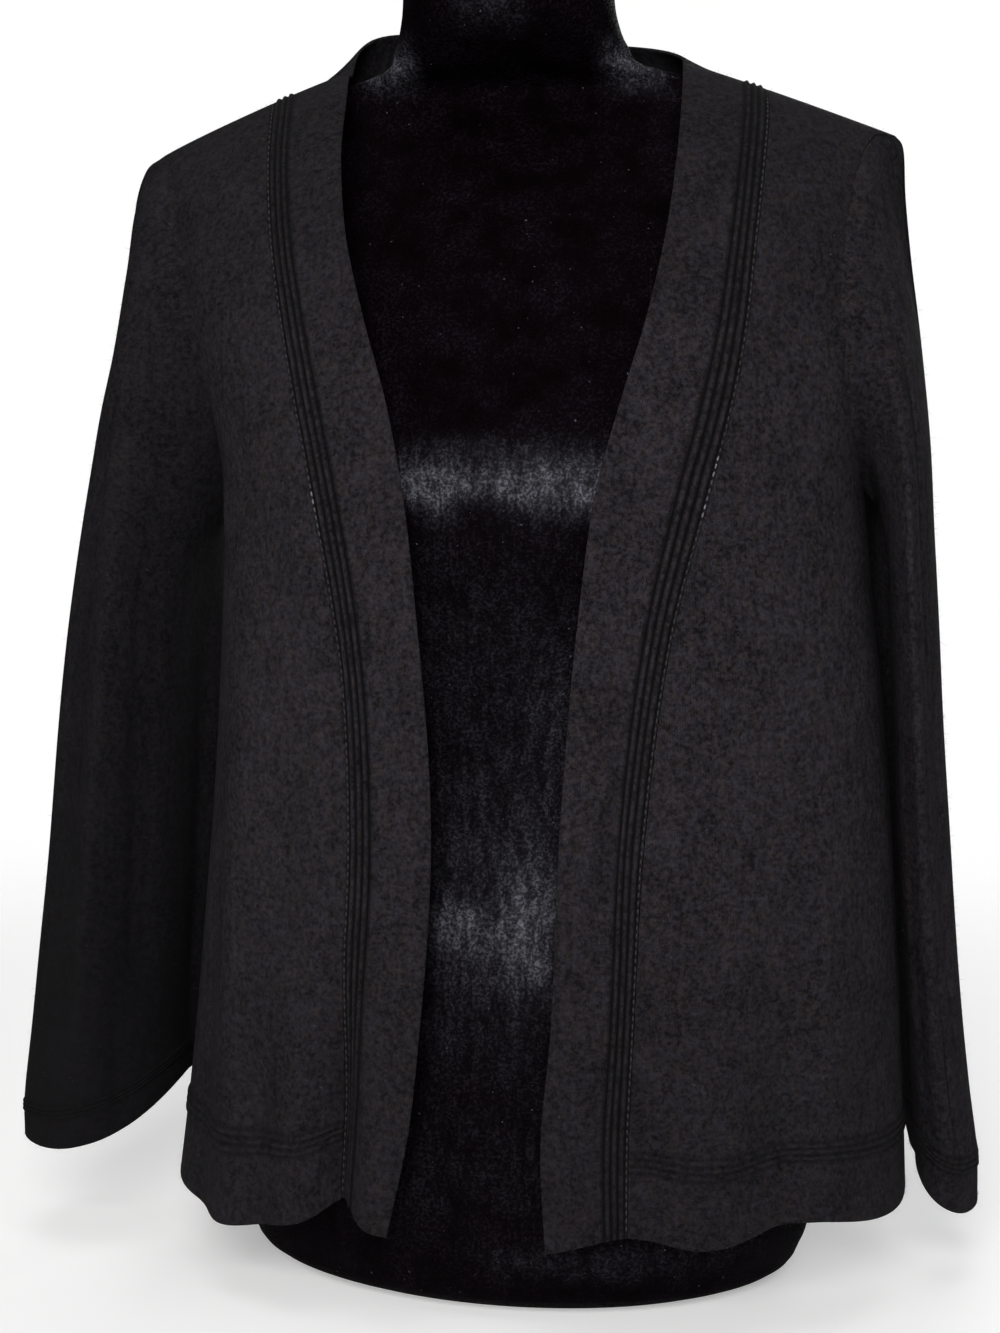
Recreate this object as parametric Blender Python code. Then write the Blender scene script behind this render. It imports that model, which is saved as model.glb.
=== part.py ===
"""Cropped open-front knit cardigan worn by a limbless dress form, in metres, +Z up.

The origin is the middle of the form's flat underside and the front faces -Y. The body of the cardigan is one
shell round the form, cut into a back, two fronts and two front bands; a band goes on round the back of the
neck, and a sleeve hangs from each armhole. Every piece is a thin wall with a plain inside, whose outer points
are raised where the knit has ribs. "Left" is the side at -X, seen from the front.
"""

import math
from typing import NamedTuple

import bpy
import numpy as np

CLOTH_WALL = 0.0018
SEAM_GAP = 0.0003
REST_GAP = 0.0007
RIB_RISE = 0.0011
NECK_CENTRE = -0.008
NECK_HALF = 0.089
SHOULDER_BOW = 1.08
LEAST_DEPTH = 0.02
SLEEVE_FULLNESS = 2.15
HEM_SHAPE_REACH = 0.085
FOLD_FADE_START = 0.35
FOLD_RISE_SHARE = 0.25
SLEEVE_FOLD_STEEPNESS = 1.6
CUFF_DROP_LEAD = 15.0
SHARP_ANGLE = 55.0

# Rows of the body wall, as distances up the cloth from its hem.
HEM_ROWS = (0.0, 0.012, 0.024)
HEM_RIB_START = 0.034
HEM_RIB_PITCH = 0.0036
HEM_RIBS = 3
SIDE_ROWS = (0.070, 0.105, 0.145, 0.185, 0.225, 0.265, 0.305, 0.342, 0.372)
ARMHOLE_ROWS = (0.392, 0.414, 0.438, 0.463, 0.488, 0.512, 0.536, 0.560, 0.583, 0.604, 0.622)

FRONT_COLUMNS = 8
BACK_MIDDLE_COLUMNS = 8
BAND_PLAIN_SHARE = 0.72
BAND_MARGIN_SHARE = 0.04
BAND_PLAIN_COLUMNS = 3
BAND_RIBS = 3
BACK_NECK_SHAPED_FROM = 0.488
BACK_NECK_ROUNDNESS = 1.15
BACK_NECK_MIDDLE = 0.578
NECK_BAND_BOW = 0.003

CUFF_RIB_START = 0.030
CUFF_RIB_PITCH = 0.0036
CUFF_RIBS = 3
SLEEVE_RINGS = 17
SLEEVE_LENGTH = 0.53
ARMHOLE_BLEND = 0.36

FORM_SIDES = 30
FORM_TOP = 0.700


class Level(NamedTuple):
    """One section of the body shell, `run` up the cloth from the hem."""

    run: float
    inner_height: float
    outer_height: float
    half_left: float
    half_right: float
    front: float
    back: float
    middle: float
    armhole: float
    fullness: float


LEVELS = (
    Level(0.000, 0.050, 0.048, 0.187, 0.2035, 0.1215, 0.112, 0.000, 0.0, 2.4),
    Level(0.060, 0.110, 0.109, 0.179, 0.2010, 0.1210, 0.109, 0.000, 0.0, 2.4),
    Level(0.140, 0.190, 0.190, 0.171, 0.1965, 0.1205, 0.106, 0.000, 0.0, 2.4),
    Level(0.240, 0.290, 0.289, 0.162, 0.1890, 0.1205, 0.102, 0.000, 0.0, 2.4),
    Level(0.320, 0.370, 0.366, 0.157, 0.1810, 0.1210, 0.100, 0.000, 0.0, 2.4),
    Level(0.372, 0.422, 0.414, 0.156, 0.1765, 0.1195, 0.100, 0.001, 0.0, 2.4),
    Level(0.414, 0.463, 0.451, 0.164, 0.1765, 0.1120, 0.101, 0.002, 15.0, 2.4),
    Level(0.452, 0.501, 0.484, 0.175, 0.1790, 0.1010, 0.101, 0.004, 23.0, 2.5),
    Level(0.492, 0.541, 0.518, 0.186, 0.1820, 0.0870, 0.097, 0.006, 27.0, 2.6),
    Level(0.530, 0.577, 0.548, 0.194, 0.1850, 0.0710, 0.087, 0.008, 28.0, 2.8),
    Level(0.560, 0.602, 0.569, 0.199, 0.1870, 0.0550, 0.072, 0.010, 28.0, 3.1),
    Level(0.585, 0.6195, 0.583, 0.202, 0.1885, 0.0370, 0.052, 0.011, 26.0, 3.5),
    Level(0.605, 0.6295, 0.590, 0.2035, 0.1890, 0.0190, 0.028, 0.012, 20.0, 3.8),
    Level(0.622, 0.633, 0.593, 0.2035, 0.1890, 0.0000, 0.000, 0.012, 0.0, 4.0),
)


class BandEdge(NamedTuple):
    """How far the inner and outer edges of the two front bands are from the middle, `run` up the cloth."""

    run: float
    left_inner: float
    left_outer: float
    right_inner: float
    right_outer: float


BAND_EDGES = (
    BandEdge(0.000, 0.0435, 0.0750, 0.0350, 0.0750),
    BandEdge(0.050, 0.0330, 0.0730, 0.0325, 0.0750),
    BandEdge(0.100, 0.0275, 0.0700, 0.0370, 0.0770),
    BandEdge(0.200, 0.0215, 0.0650, 0.0412, 0.0818),
    BandEdge(0.300, 0.0280, 0.0710, 0.0493, 0.0945),
    BandEdge(0.370, 0.0368, 0.0860, 0.0585, 0.1110),
    BandEdge(0.410, 0.0465, 0.0965, 0.0680, 0.1190),
    BandEdge(0.450, 0.0610, 0.1065, 0.0780, 0.1245),
    BandEdge(0.490, 0.0740, 0.1155, 0.0845, 0.1270),
    BandEdge(0.530, 0.0815, 0.1220, 0.0872, 0.1290),
    BandEdge(0.580, 0.0870, 0.1290, 0.0860, 0.1290),
    BandEdge(0.622, 0.0960, 0.1380, 0.0810, 0.1240),
)


class Fold(NamedTuple):
    """A soft ridge (depth over 0) or trough of the body, from its low end to its high end.

    The face is -1 in front and 1 behind.
    """

    face: int
    low_x: float
    low_height: float
    high_x: float
    high_height: float
    width: float
    depth: float


BODY_FOLDS = (
    Fold(-1, -0.0745, 0.04, -0.066, 0.20, 0.0095, -0.0130),
    Fold(-1, -0.098, 0.04, -0.088, 0.24, 0.0150, 0.0060),
    Fold(-1, -0.046, 0.04, -0.042, 0.22, 0.0130, 0.0040),
    Fold(-1, -0.076, 0.33, -0.104, 0.46, 0.0110, 0.0030),
    Fold(-1, -0.134, 0.06, -0.122, 0.42, 0.0140, 0.0045),
    Fold(-1, -0.160, 0.06, -0.144, 0.36, 0.0110, -0.0040),
    Fold(-1, 0.064, 0.19, 0.079, 0.39, 0.0080, -0.0060),
    Fold(-1, 0.050, 0.05, 0.049, 0.30, 0.0110, 0.0030),
    Fold(-1, 0.091, 0.04, 0.086, 0.16, 0.0110, -0.0040),
    Fold(-1, 0.116, 0.04, 0.126, 0.34, 0.0200, 0.0045),
    Fold(-1, 0.144, 0.04, 0.149, 0.21, 0.0120, -0.0045),
    Fold(-1, 0.168, 0.08, 0.160, 0.40, 0.0130, 0.0040),
    Fold(-1, 0.142, 0.47, 0.154, 0.54, 0.0140, -0.0035),
    Fold(1, -0.138, 0.05, -0.112, 0.44, 0.0150, 0.0060),
    Fold(1, -0.100, 0.04, -0.084, 0.33, 0.0140, -0.0050),
    Fold(1, -0.052, 0.04, -0.048, 0.38, 0.0170, 0.0060),
    Fold(1, 0.004, 0.04, -0.004, 0.27, 0.0170, -0.0040),
    Fold(1, 0.056, 0.04, 0.047, 0.42, 0.0160, 0.0060),
    Fold(1, 0.106, 0.04, 0.088, 0.31, 0.0140, -0.0050),
    Fold(1, 0.154, 0.05, 0.122, 0.45, 0.0160, 0.0065),
)


class HemShape(NamedTuple):
    """Where the hem is lifted (over 0) or dips."""

    face: int
    x: float
    width: float
    lift: float


HEM_SHAPES = (
    HemShape(-1, -0.073, 0.011, 0.010),
    HemShape(-1, -0.044, 0.012, -0.002),
    HemShape(-1, -0.142, 0.038, -0.011),
    HemShape(1, -0.150, 0.040, -0.013),
    HemShape(-1, 0.035, 0.012, -0.005),
    HemShape(-1, 0.074, 0.014, 0.004),
    HemShape(-1, 0.107, 0.012, -0.001),
    HemShape(-1, 0.160, 0.026, 0.010),
    HemShape(1, 0.150, 0.030, 0.004),
    HemShape(1, 0.060, 0.030, -0.003),
    HemShape(1, -0.030, 0.030, 0.003),
)


class NeckEdge(NamedTuple):
    """A place on the upper edge of the band behind the neck, `share` of the way from left to right."""

    share: float
    x: float
    y: float
    height: float


NECK_EDGES = (
    NeckEdge(0.000, -0.0960, 0.012, 0.6330),
    NeckEdge(0.125, -0.0955, 0.028, 0.6500),
    NeckEdge(0.250, -0.0840, 0.044, 0.6600),
    NeckEdge(0.375, -0.0530, 0.058, 0.6615),
    NeckEdge(0.500, -0.0080, 0.064, 0.6575),
    NeckEdge(0.625, 0.0360, 0.059, 0.6530),
    NeckEdge(0.750, 0.0625, 0.045, 0.6470),
    NeckEdge(0.875, 0.0770, 0.028, 0.6400),
    NeckEdge(1.000, 0.0810, 0.012, 0.6330),
)


class SleeveRing(NamedTuple):
    """A section of a sleeve: its outer and inner points from the front, and its middle and half depth in Y.

    The front of the section hangs lower by its drop, and its inner back reaches further in by its swell.
    """

    outer_x: float
    outer_height: float
    inner_x: float
    inner_height: float
    middle: float
    half_depth: float
    front_drop: float
    back_swell: float


LEFT_SLEEVE = (
    SleeveRing(-0.2035, 0.593, -0.156, 0.414, 0.003, 0.050, 0.000, 0.000),
    SleeveRing(-0.2120, 0.586, -0.160, 0.409, 0.003, 0.052, 0.000, 0.000),
    SleeveRing(-0.2175, 0.566, -0.164, 0.403, 0.003, 0.054, 0.000, 0.000),
    SleeveRing(-0.2175, 0.535, -0.169, 0.395, 0.003, 0.057, 0.000, 0.000),
    SleeveRing(-0.2205, 0.493, -0.174, 0.384, 0.003, 0.060, 0.000, 0.000),
    SleeveRing(-0.2290, 0.451, -0.178, 0.367, 0.003, 0.062, 0.000, 0.006),
    SleeveRing(-0.2380, 0.400, -0.181, 0.340, 0.003, 0.064, 0.000, 0.020),
    SleeveRing(-0.2455, 0.348, -0.183, 0.305, 0.003, 0.064, 0.000, 0.036),
    SleeveRing(-0.2530, 0.285, -0.185, 0.258, 0.002, 0.062, 0.000, 0.044),
    SleeveRing(-0.2600, 0.217, -0.187, 0.208, 0.001, 0.060, 0.000, 0.046),
    SleeveRing(-0.2670, 0.160, -0.189, 0.166, -0.001, 0.057, 0.001, 0.044),
    SleeveRing(-0.2730, 0.112, -0.190, 0.133, -0.003, 0.054, 0.004, 0.040),
    SleeveRing(-0.2790, 0.076, -0.190, 0.110, -0.004, 0.051, 0.010, 0.026),
    SleeveRing(-0.2810, 0.055, -0.190, 0.093, -0.005, 0.049, 0.016, 0.012),
)

RIGHT_SLEEVE = (
    SleeveRing(0.1890, 0.593, 0.1765, 0.414, 0.003, 0.050, 0.000, 0.000),
    SleeveRing(0.1930, 0.586, 0.1805, 0.410, 0.004, 0.051, 0.000, 0.000),
    SleeveRing(0.1945, 0.562, 0.1845, 0.405, 0.006, 0.053, 0.000, 0.006),
    SleeveRing(0.1980, 0.530, 0.1870, 0.398, 0.008, 0.056, 0.000, 0.015),
    SleeveRing(0.2035, 0.490, 0.1890, 0.388, 0.011, 0.059, 0.000, 0.025),
    SleeveRing(0.2090, 0.440, 0.1905, 0.372, 0.014, 0.061, 0.000, 0.033),
    SleeveRing(0.2120, 0.392, 0.1915, 0.346, 0.018, 0.062, 0.000, 0.037),
    SleeveRing(0.2155, 0.340, 0.1935, 0.310, 0.022, 0.062, 0.000, 0.034),
    SleeveRing(0.2190, 0.278, 0.1960, 0.260, 0.026, 0.061, 0.000, 0.030),
    SleeveRing(0.2235, 0.212, 0.1990, 0.206, 0.030, 0.059, 0.000, 0.028),
    SleeveRing(0.2285, 0.152, 0.2025, 0.157, 0.033, 0.056, 0.000, 0.026),
    SleeveRing(0.2340, 0.102, 0.2055, 0.115, 0.036, 0.053, 0.001, 0.026),
    SleeveRing(0.2390, 0.066, 0.2080, 0.083, 0.037, 0.050, 0.002, 0.022),
    SleeveRing(0.2410, 0.036, 0.2095, 0.056, 0.038, 0.048, 0.003, 0.012),
)


class SleeveFold(NamedTuple):
    """A soft ridge or trough along a sleeve.

    The turn is 0 at the sleeve's outer line, 90 in front and 180 at its inner line.
    """

    turn: float
    width: float
    depth: float
    start: float
    end: float


LEFT_SLEEVE_FOLDS = (
    SleeveFold(62.0, 16.0, -0.0065, 0.28, 0.80),
    SleeveFold(98.0, 17.0, 0.0050, 0.26, 0.98),
    SleeveFold(128.0, 13.0, -0.0050, 0.34, 0.90),
    SleeveFold(28.0, 16.0, 0.0030, 0.40, 1.05),
    SleeveFold(238.0, 18.0, -0.0060, 0.30, 0.86),
    SleeveFold(286.0, 18.0, 0.0040, 0.34, 1.00),
    SleeveFold(322.0, 14.0, -0.0040, 0.46, 0.96),
)

RIGHT_SLEEVE_FOLDS = (
    SleeveFold(50.0, 15.0, -0.0050, 0.26, 0.88),
    SleeveFold(84.0, 15.0, 0.0045, 0.22, 0.70),
    SleeveFold(112.0, 14.0, -0.0050, 0.50, 0.98),
    SleeveFold(20.0, 14.0, 0.0030, 0.52, 1.05),
    SleeveFold(248.0, 18.0, -0.0060, 0.28, 0.84),
    SleeveFold(292.0, 18.0, 0.0045, 0.36, 1.00),
    SleeveFold(330.0, 14.0, -0.0035, 0.46, 0.94),
)


class FormLevel(NamedTuple):
    """One level section of the dress form."""

    height: float
    half_width: float
    front: float
    back: float
    middle: float
    centre: float


# The shoulders between these two lists follow the cloth that rests on them.
FORM_TRUNK = (
    FormLevel(0.000, 0.126, 0.080, 0.076, 0.000, 0.000),
    FormLevel(0.006, 0.141, 0.092, 0.087, 0.000, 0.000),
    FormLevel(0.019, 0.151, 0.100, 0.094, 0.000, 0.000),
    FormLevel(0.042, 0.156, 0.105, 0.098, 0.000, 0.000),
    FormLevel(0.080, 0.156, 0.106, 0.099, 0.000, 0.000),
    FormLevel(0.125, 0.152, 0.106, 0.097, 0.000, -0.001),
    FormLevel(0.170, 0.144, 0.104, 0.091, 0.000, -0.002),
    FormLevel(0.215, 0.132, 0.097, 0.081, 0.000, -0.003),
    FormLevel(0.258, 0.123, 0.090, 0.074, 0.000, -0.003),
    FormLevel(0.300, 0.126, 0.092, 0.076, 0.000, -0.002),
    FormLevel(0.345, 0.133, 0.102, 0.081, 0.000, -0.001),
    FormLevel(0.390, 0.138, 0.114, 0.086, 0.000, 0.001),
    FormLevel(0.428, 0.141, 0.112, 0.089, 0.001, 0.001),
    FormLevel(0.470, 0.146, 0.098, 0.092, 0.003, -0.001),
    FormLevel(0.510, 0.154, 0.080, 0.090, 0.006, -0.004),
    FormLevel(0.545, 0.162, 0.061, 0.075, 0.009, -0.006),
    FormLevel(0.570, 0.168, 0.046, 0.057, 0.011, -0.007),
    FormLevel(0.588, 0.172, 0.034, 0.040, 0.012, NECK_CENTRE),
)
FORM_SHOULDER_HEIGHTS = (0.600, 0.609, 0.617, 0.624)
FORM_SHOULDER_FRONT = (0.027, 0.021, 0.018, 0.020)
FORM_SHOULDER_BACK = (0.028, 0.021, 0.017, 0.019)
FORM_NECK = (
    FormLevel(0.632, 0.071, 0.034, 0.034, 0.009, NECK_CENTRE),
    FormLevel(0.642, 0.062, 0.045, 0.045, 0.004, NECK_CENTRE),
    FormLevel(0.655, 0.057, 0.051, 0.051, 0.000, NECK_CENTRE),
    FormLevel(0.674, 0.055, 0.052, 0.052, -0.003, NECK_CENTRE),
    FormLevel(0.693, 0.0545, 0.052, 0.052, -0.005, NECK_CENTRE),
    FormLevel(0.698, 0.0525, 0.050, 0.050, -0.005, NECK_CENTRE),
    FormLevel(FORM_TOP, 0.048, 0.0455, 0.0455, -0.005, NECK_CENTRE),
)


def clear_scene():
    for item in list(bpy.data.objects):
        bpy.data.objects.remove(item, do_unlink=True)


def smooth_row(rows, place):
    """The row at `place` in the first column, on smooth curves through the rows of a table."""
    table = np.array(rows, dtype=float)
    knots = table[:, 0]
    place = min(max(place, knots[0]), knots[-1])
    index = min(int(np.searchsorted(knots, place, side="right")) - 1, len(knots) - 2)
    slopes = np.gradient(table, knots, axis=0)
    step = knots[index + 1] - knots[index]
    t = (place - knots[index]) / step
    start = (2 * t**3 - 3 * t**2 + 1) * table[index] + (t**3 - 2 * t**2 + t) * step * slopes[index]
    end = (3 * t**2 - 2 * t**3) * table[index + 1] + (t**3 - t**2) * step * slopes[index + 1]
    return start + end


def ease(value):
    """0 to 1 with level ends."""
    value = min(max(value, 0.0), 1.0)
    return value * value * (3.0 - 2.0 * value)


def level_at(run):
    return Level(*smooth_row(LEVELS, run))


def band_edges_at(run):
    return BandEdge(*smooth_row(BAND_EDGES, run))


def shoulder_height(level, x):
    """Height of a section at `x`: flat inside the neck, then down to the shoulder tip."""
    tip = level.half_right if x > NECK_CENTRE else -level.half_left
    share = max(abs(x - NECK_CENTRE) - NECK_HALF, 0.0) / (abs(tip - NECK_CENTRE) - NECK_HALF)
    return level.inner_height + (level.outer_height - level.inner_height) * min(share, 1.0) ** SHOULDER_BOW


def fold_depth(face, x, height):
    """How far the cloth's folds push it out at a place on the body."""
    pushed = 0.0
    for fold in BODY_FOLDS:
        if fold.face != face:
            continue
        share = (height - fold.low_height) / (fold.high_height - fold.low_height)
        if share >= 1.0:
            continue
        centre = fold.low_x + (fold.high_x - fold.low_x) * max(share, 0.0)
        fade = 1.0 - ease((share - FOLD_FADE_START) / (1.0 - FOLD_FADE_START))
        rise = ease(share / FOLD_RISE_SHARE) if fold.low_height > HEM_SHAPE_REACH else 1.0
        pushed += fold.depth * fade * rise * math.exp(-(((x - centre) / fold.width) ** 2))
    return pushed


def hem_lift(face, x, run):
    """How far the uneven hem lifts the cloth, fading upwards."""
    fade = 1.0 - ease(run / HEM_SHAPE_REACH)
    shapes = [shape for shape in HEM_SHAPES if shape.face == face]
    return fade * sum(shape.lift * math.exp(-(((x - shape.x) / shape.width) ** 2)) for shape in shapes)


def shell_point(run, side, turn, face):
    """Middle of the cloth. `side` is -1 left or 1 right, and `turn` 0 at the side seam, 90 at the centre."""
    level = level_at(run)
    half = level.half_right if side > 0 else level.half_left
    depth = max(level.front if face < 0 else level.back, 0.0)
    angle = math.radians(turn)
    across = max(math.cos(angle), 0.0) ** (2.0 / level.fullness)
    out = max(math.sin(angle), 0.0) ** (2.0 / level.fullness)
    x = side * half * across
    height = shoulder_height(level, x)
    power = level.fullness - 1.0
    push = np.array([side * across**power / half, face * out**power / max(depth, LEAST_DEPTH), 0.0])
    push /= np.linalg.norm(push)
    flat = np.array([x, level.middle + face * depth * out, height + hem_lift(face, x, run)])
    return flat + push * fold_depth(face, x, height)


def turn_of(run, side, x):
    """The turn at which a section of the shell passes the distance `x` from the middle."""
    level = level_at(run)
    half = level.half_right if side > 0 else level.half_left
    return math.degrees(math.acos(min(abs(x) / half, 1.0) ** (level.fullness / 2.0)))


def body_rows():
    """Distances up the cloth of the body's rows: even ones, and a peak and a groove for each hem rib."""
    ribs = [HEM_RIB_START + HEM_RIB_PITCH * step / 2 for step in range(2 * HEM_RIBS + 1)]
    return list(HEM_ROWS) + ribs + list(SIDE_ROWS) + list(ARMHOLE_ROWS)


def hem_rib_relief(rows):
    """Rise of the outer points on each row: the peaks of the hem ribs."""
    first = len(HEM_ROWS)
    peaks = {first + 1 + 2 * rib for rib in range(HEM_RIBS)}
    return np.array([RIB_RISE if index in peaks else 0.0 for index in range(len(rows))])


def band_shares():
    """Places across a band from its outer (panel) edge to its free inner edge, and the rise at each."""
    plain_start = 1.0 - BAND_PLAIN_SHARE
    rib_width = (plain_start - BAND_MARGIN_SHARE) / (2 * BAND_RIBS)
    ribs = [BAND_MARGIN_SHARE + rib_width * step for step in range(2 * BAND_RIBS + 1)]
    column = BAND_PLAIN_SHARE / BAND_PLAIN_COLUMNS
    plain = [plain_start + column * (step + 1) for step in range(BAND_PLAIN_COLUMNS)]
    peaks = [RIB_RISE if step % 2 else 0.0 for step in range(2 * BAND_RIBS + 1)]
    rises = [0.0] + peaks + [0.0] * BAND_PLAIN_COLUMNS
    return [0.0] + ribs + plain, np.array(rises)


def front_grid(side, rows):
    """Rows of points from the band's outer edge to the side seam or armhole."""
    grid = []
    for run in rows:
        edges = band_edges_at(run)
        start = turn_of(run, side, edges.right_outer if side > 0 else edges.left_outer)
        end = level_at(run).armhole
        turns = np.linspace(start, end, FRONT_COLUMNS + 1)
        grid.append([shell_point(run, side, turn, -1) for turn in turns])
    return np.array(grid)


def band_grid(side, rows):
    """Rows of points across a front band, from its outer edge to its free edge."""
    shares, _ = band_shares()
    grid = []
    for run in rows:
        edges = band_edges_at(run)
        inner = edges.right_inner if side > 0 else edges.left_inner
        outer = edges.right_outer if side > 0 else edges.left_outer
        places = [outer + (inner - outer) * share for share in shares]
        grid.append([shell_point(run, side, turn_of(run, side, place), -1) for place in places])
    return np.array(grid)


def back_grid(rows):
    """Rows of points from the left side seam to the right one, cut away at the neck."""
    grid = []
    for run in rows:
        edges = band_edges_at(run)
        end = level_at(run).armhole
        left = np.linspace(end, turn_of(run, -1, edges.left_outer), FRONT_COLUMNS + 1)
        right = np.linspace(turn_of(run, 1, edges.right_outer), end, FRONT_COLUMNS + 1)
        row = [shell_point(run, -1, turn, 1) for turn in left]
        for step in range(1, BACK_MIDDLE_COLUMNS):
            share = step / BACK_MIDDLE_COLUMNS
            middle = (edges.right_outer - edges.left_outer) / 2
            x = middle - (edges.right_outer + edges.left_outer) / 2 * math.cos(math.pi * share)
            dip = math.sin(math.pi * share) ** BACK_NECK_ROUNDNESS
            deepest = (ARMHOLE_ROWS[-1] - BACK_NECK_MIDDLE) / (ARMHOLE_ROWS[-1] - BACK_NECK_SHAPED_FROM)
            shaped = BACK_NECK_SHAPED_FROM + (run - BACK_NECK_SHAPED_FROM) * (1.0 - dip * deepest)
            place = run if run < BACK_NECK_SHAPED_FROM else shaped
            side = 1 if x > 0 else -1
            row.append(shell_point(place, side, turn_of(place, side, x), 1))
        row += [shell_point(run, 1, turn, 1) for turn in right]
        grid.append(row)
    return np.array(grid)


def neck_band_grid(back, left_band, right_band):
    """Columns across the band behind the neck, from the back's edge up. Its ends meet the front bands."""
    shares, _ = band_shares()
    lower = back[-1, FRONT_COLUMNS : FRONT_COLUMNS + BACK_MIDDLE_COLUMNS + 1]
    grid = []
    for column, foot in enumerate(lower):
        share = column / BACK_MIDDLE_COLUMNS
        top = smooth_row(NECK_EDGES, share)[1:]
        bow = np.array([0.0, NECK_BAND_BOW, 0.0]) * math.sin(math.pi * share)
        grid.append([foot + (top - foot) * place + bow * math.sin(math.pi * place) for place in shares])
    grid[0] = left_band[-1]
    grid[-1] = right_band[-1]
    return np.array(grid)


def armhole_ring(front, back, side):
    """The armhole's edge points, from the shoulder tip down the front and up the back."""
    rows = len(ARMHOLE_ROWS) + 1
    front_edge = front[-rows:, -1]
    back_edge = back[-rows:, -1 if side > 0 else 0]
    return np.array(list(front_edge[::-1]) + list(back_edge[1:-1]))


def sleeve_shares():
    """Places down a sleeve, with one for each peak and groove of the cuff's ribs, and the rise at each."""
    first = CUFF_RIB_START + CUFF_RIBS * CUFF_RIB_PITCH
    ribs = [1.0 - (first - CUFF_RIB_PITCH * step / 2) / SLEEVE_LENGTH for step in range(2 * CUFF_RIBS + 1)]
    plain = [ribs[0] * step / SLEEVE_RINGS for step in range(SLEEVE_RINGS)]
    peaks = [RIB_RISE if step % 2 else 0.0 for step in range(2 * CUFF_RIBS + 1)]
    rises = [0.0] * SLEEVE_RINGS + peaks + [0.0, 0.0]
    return plain + ribs + [(ribs[-1] + 1.0) / 2, 1.0], np.array(rises)


def sleeve_grid(rings, folds, armhole):
    """Rings of a sleeve from the armhole to the cuff."""
    turns = ring_turns(rings[0], armhole)
    table = [(index / (len(rings) - 1), *ring) for index, ring in enumerate(rings)]
    first = plain_ring(SleeveRing(*smooth_row(table, 0.0)[1:]), turns)
    shares, _ = sleeve_shares()
    grid = []
    for share in shares:
        ring = SleeveRing(*smooth_row(table, share)[1:])
        points = plain_ring(ring, turns)
        centre = points.mean(axis=0)
        keep = 1.0 - ease(share / ARMHOLE_BLEND)
        for index, turn in enumerate(turns):
            out = points[index] - centre
            out /= np.linalg.norm(out)
            points[index] += out * sleeve_fold_depth(folds, math.degrees(turn), share)
        grid.append(points + keep * (armhole - first))
    return np.array(grid)


def ring_frame(ring):
    """Centre of a section, and the step from there to its outer point."""
    outer = np.array([ring.outer_x, ring.middle, ring.outer_height])
    inner = np.array([ring.inner_x, ring.middle, ring.inner_height])
    return (outer + inner) / 2, (outer - inner) / 2


def ring_turns(ring, armhole):
    """The turn of each armhole point round the middle of the sleeve's first section."""
    centre, axis = ring_frame(ring)
    turns = []
    for point in armhole:
        along = np.dot(point - centre, axis) / np.dot(axis, axis)
        across = -(point[1] - centre[1]) / ring.half_depth
        turns.append(math.atan2(across, along) % (2 * math.pi))
    turns[0] = 0.0
    return turns


def plain_ring(ring, turns):
    """A rounded flat ring in the plane of its outer and inner points and the Y axis."""
    centre, axis = ring_frame(ring)
    points = []
    for turn in turns:
        along = math.copysign(abs(math.cos(turn)) ** (2 / SLEEVE_FULLNESS), math.cos(turn))
        across = math.copysign(abs(math.sin(turn)) ** (2 / SLEEVE_FULLNESS), math.sin(turn))
        drop = ring.front_drop * max(math.sin(turn - math.radians(CUFF_DROP_LEAD)), 0.0) ** 2
        inner_back = max(-math.sin(turn), 0.0) * (1.0 - math.cos(turn)) / 2
        swell = -math.copysign(ring.back_swell, ring.outer_x) * inner_back
        points.append(centre + axis * along + np.array([swell, -ring.half_depth * across, -drop]))
    return np.array(points)


def sleeve_fold_depth(folds, turn, share):
    pushed = 0.0
    for fold in folds:
        middle = (fold.start + fold.end) / 2
        reach = (fold.end - fold.start) / 2
        fade = ease(SLEEVE_FOLD_STEEPNESS * (1.0 - abs(share - middle) / reach))
        away = (turn - fold.turn + 180.0) % 360.0 - 180.0
        pushed += fold.depth * fade * math.exp(-((away / fold.width) ** 2))
    return pushed


def grid_normals(grid, closed):
    """Outward normals of a grid of points whose rows run round the body or the sleeve."""
    up = np.gradient(grid, axis=0)
    if closed:
        across = (np.roll(grid, -1, axis=1) - np.roll(grid, 1, axis=1)) / 2
    else:
        across = np.gradient(grid, axis=1)
    normals = np.cross(across, up)
    normals /= np.linalg.norm(normals, axis=2, keepdims=True)
    centre = grid.mean(axis=(0, 1)) if not closed else grid.mean(axis=1, keepdims=True)
    outward = grid - (centre if closed else np.array([0.0, 0.0, centre[2]]))
    return normals if (normals * outward).sum() > 0 else -normals


def share_edge_normals(grids, own_normals):
    """Gives edge points that pieces have in common one normal, so that their walls part evenly.

    At the underarm and the shoulder tip a sleeve counts as much as the two panels it meets.
    """
    normals = {name: own.copy() for name, own in own_normals.items()}
    places = {}
    for name, (grid, closed) in grids.items():
        rows, columns = grid.shape[:2]
        for row in range(rows):
            for column in range(columns):
                on_edge = row in (0, rows - 1) or (not closed and column in (0, columns - 1))
                if on_edge:
                    key = tuple(np.round(grid[row, column], 6))
                    places.setdefault(key, []).append((name, row, column))
    for members in places.values():
        panels = sum(1 for name, _, _ in members if not grids[name][1])
        total = np.zeros(3)
        for name, row, column in members:
            total += own_normals[name][row, column] * (max(panels, 1) if grids[name][1] else 1)
        total /= np.linalg.norm(total)
        for name, row, column in members:
            normals[name][row, column] = total
    return normals


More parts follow.
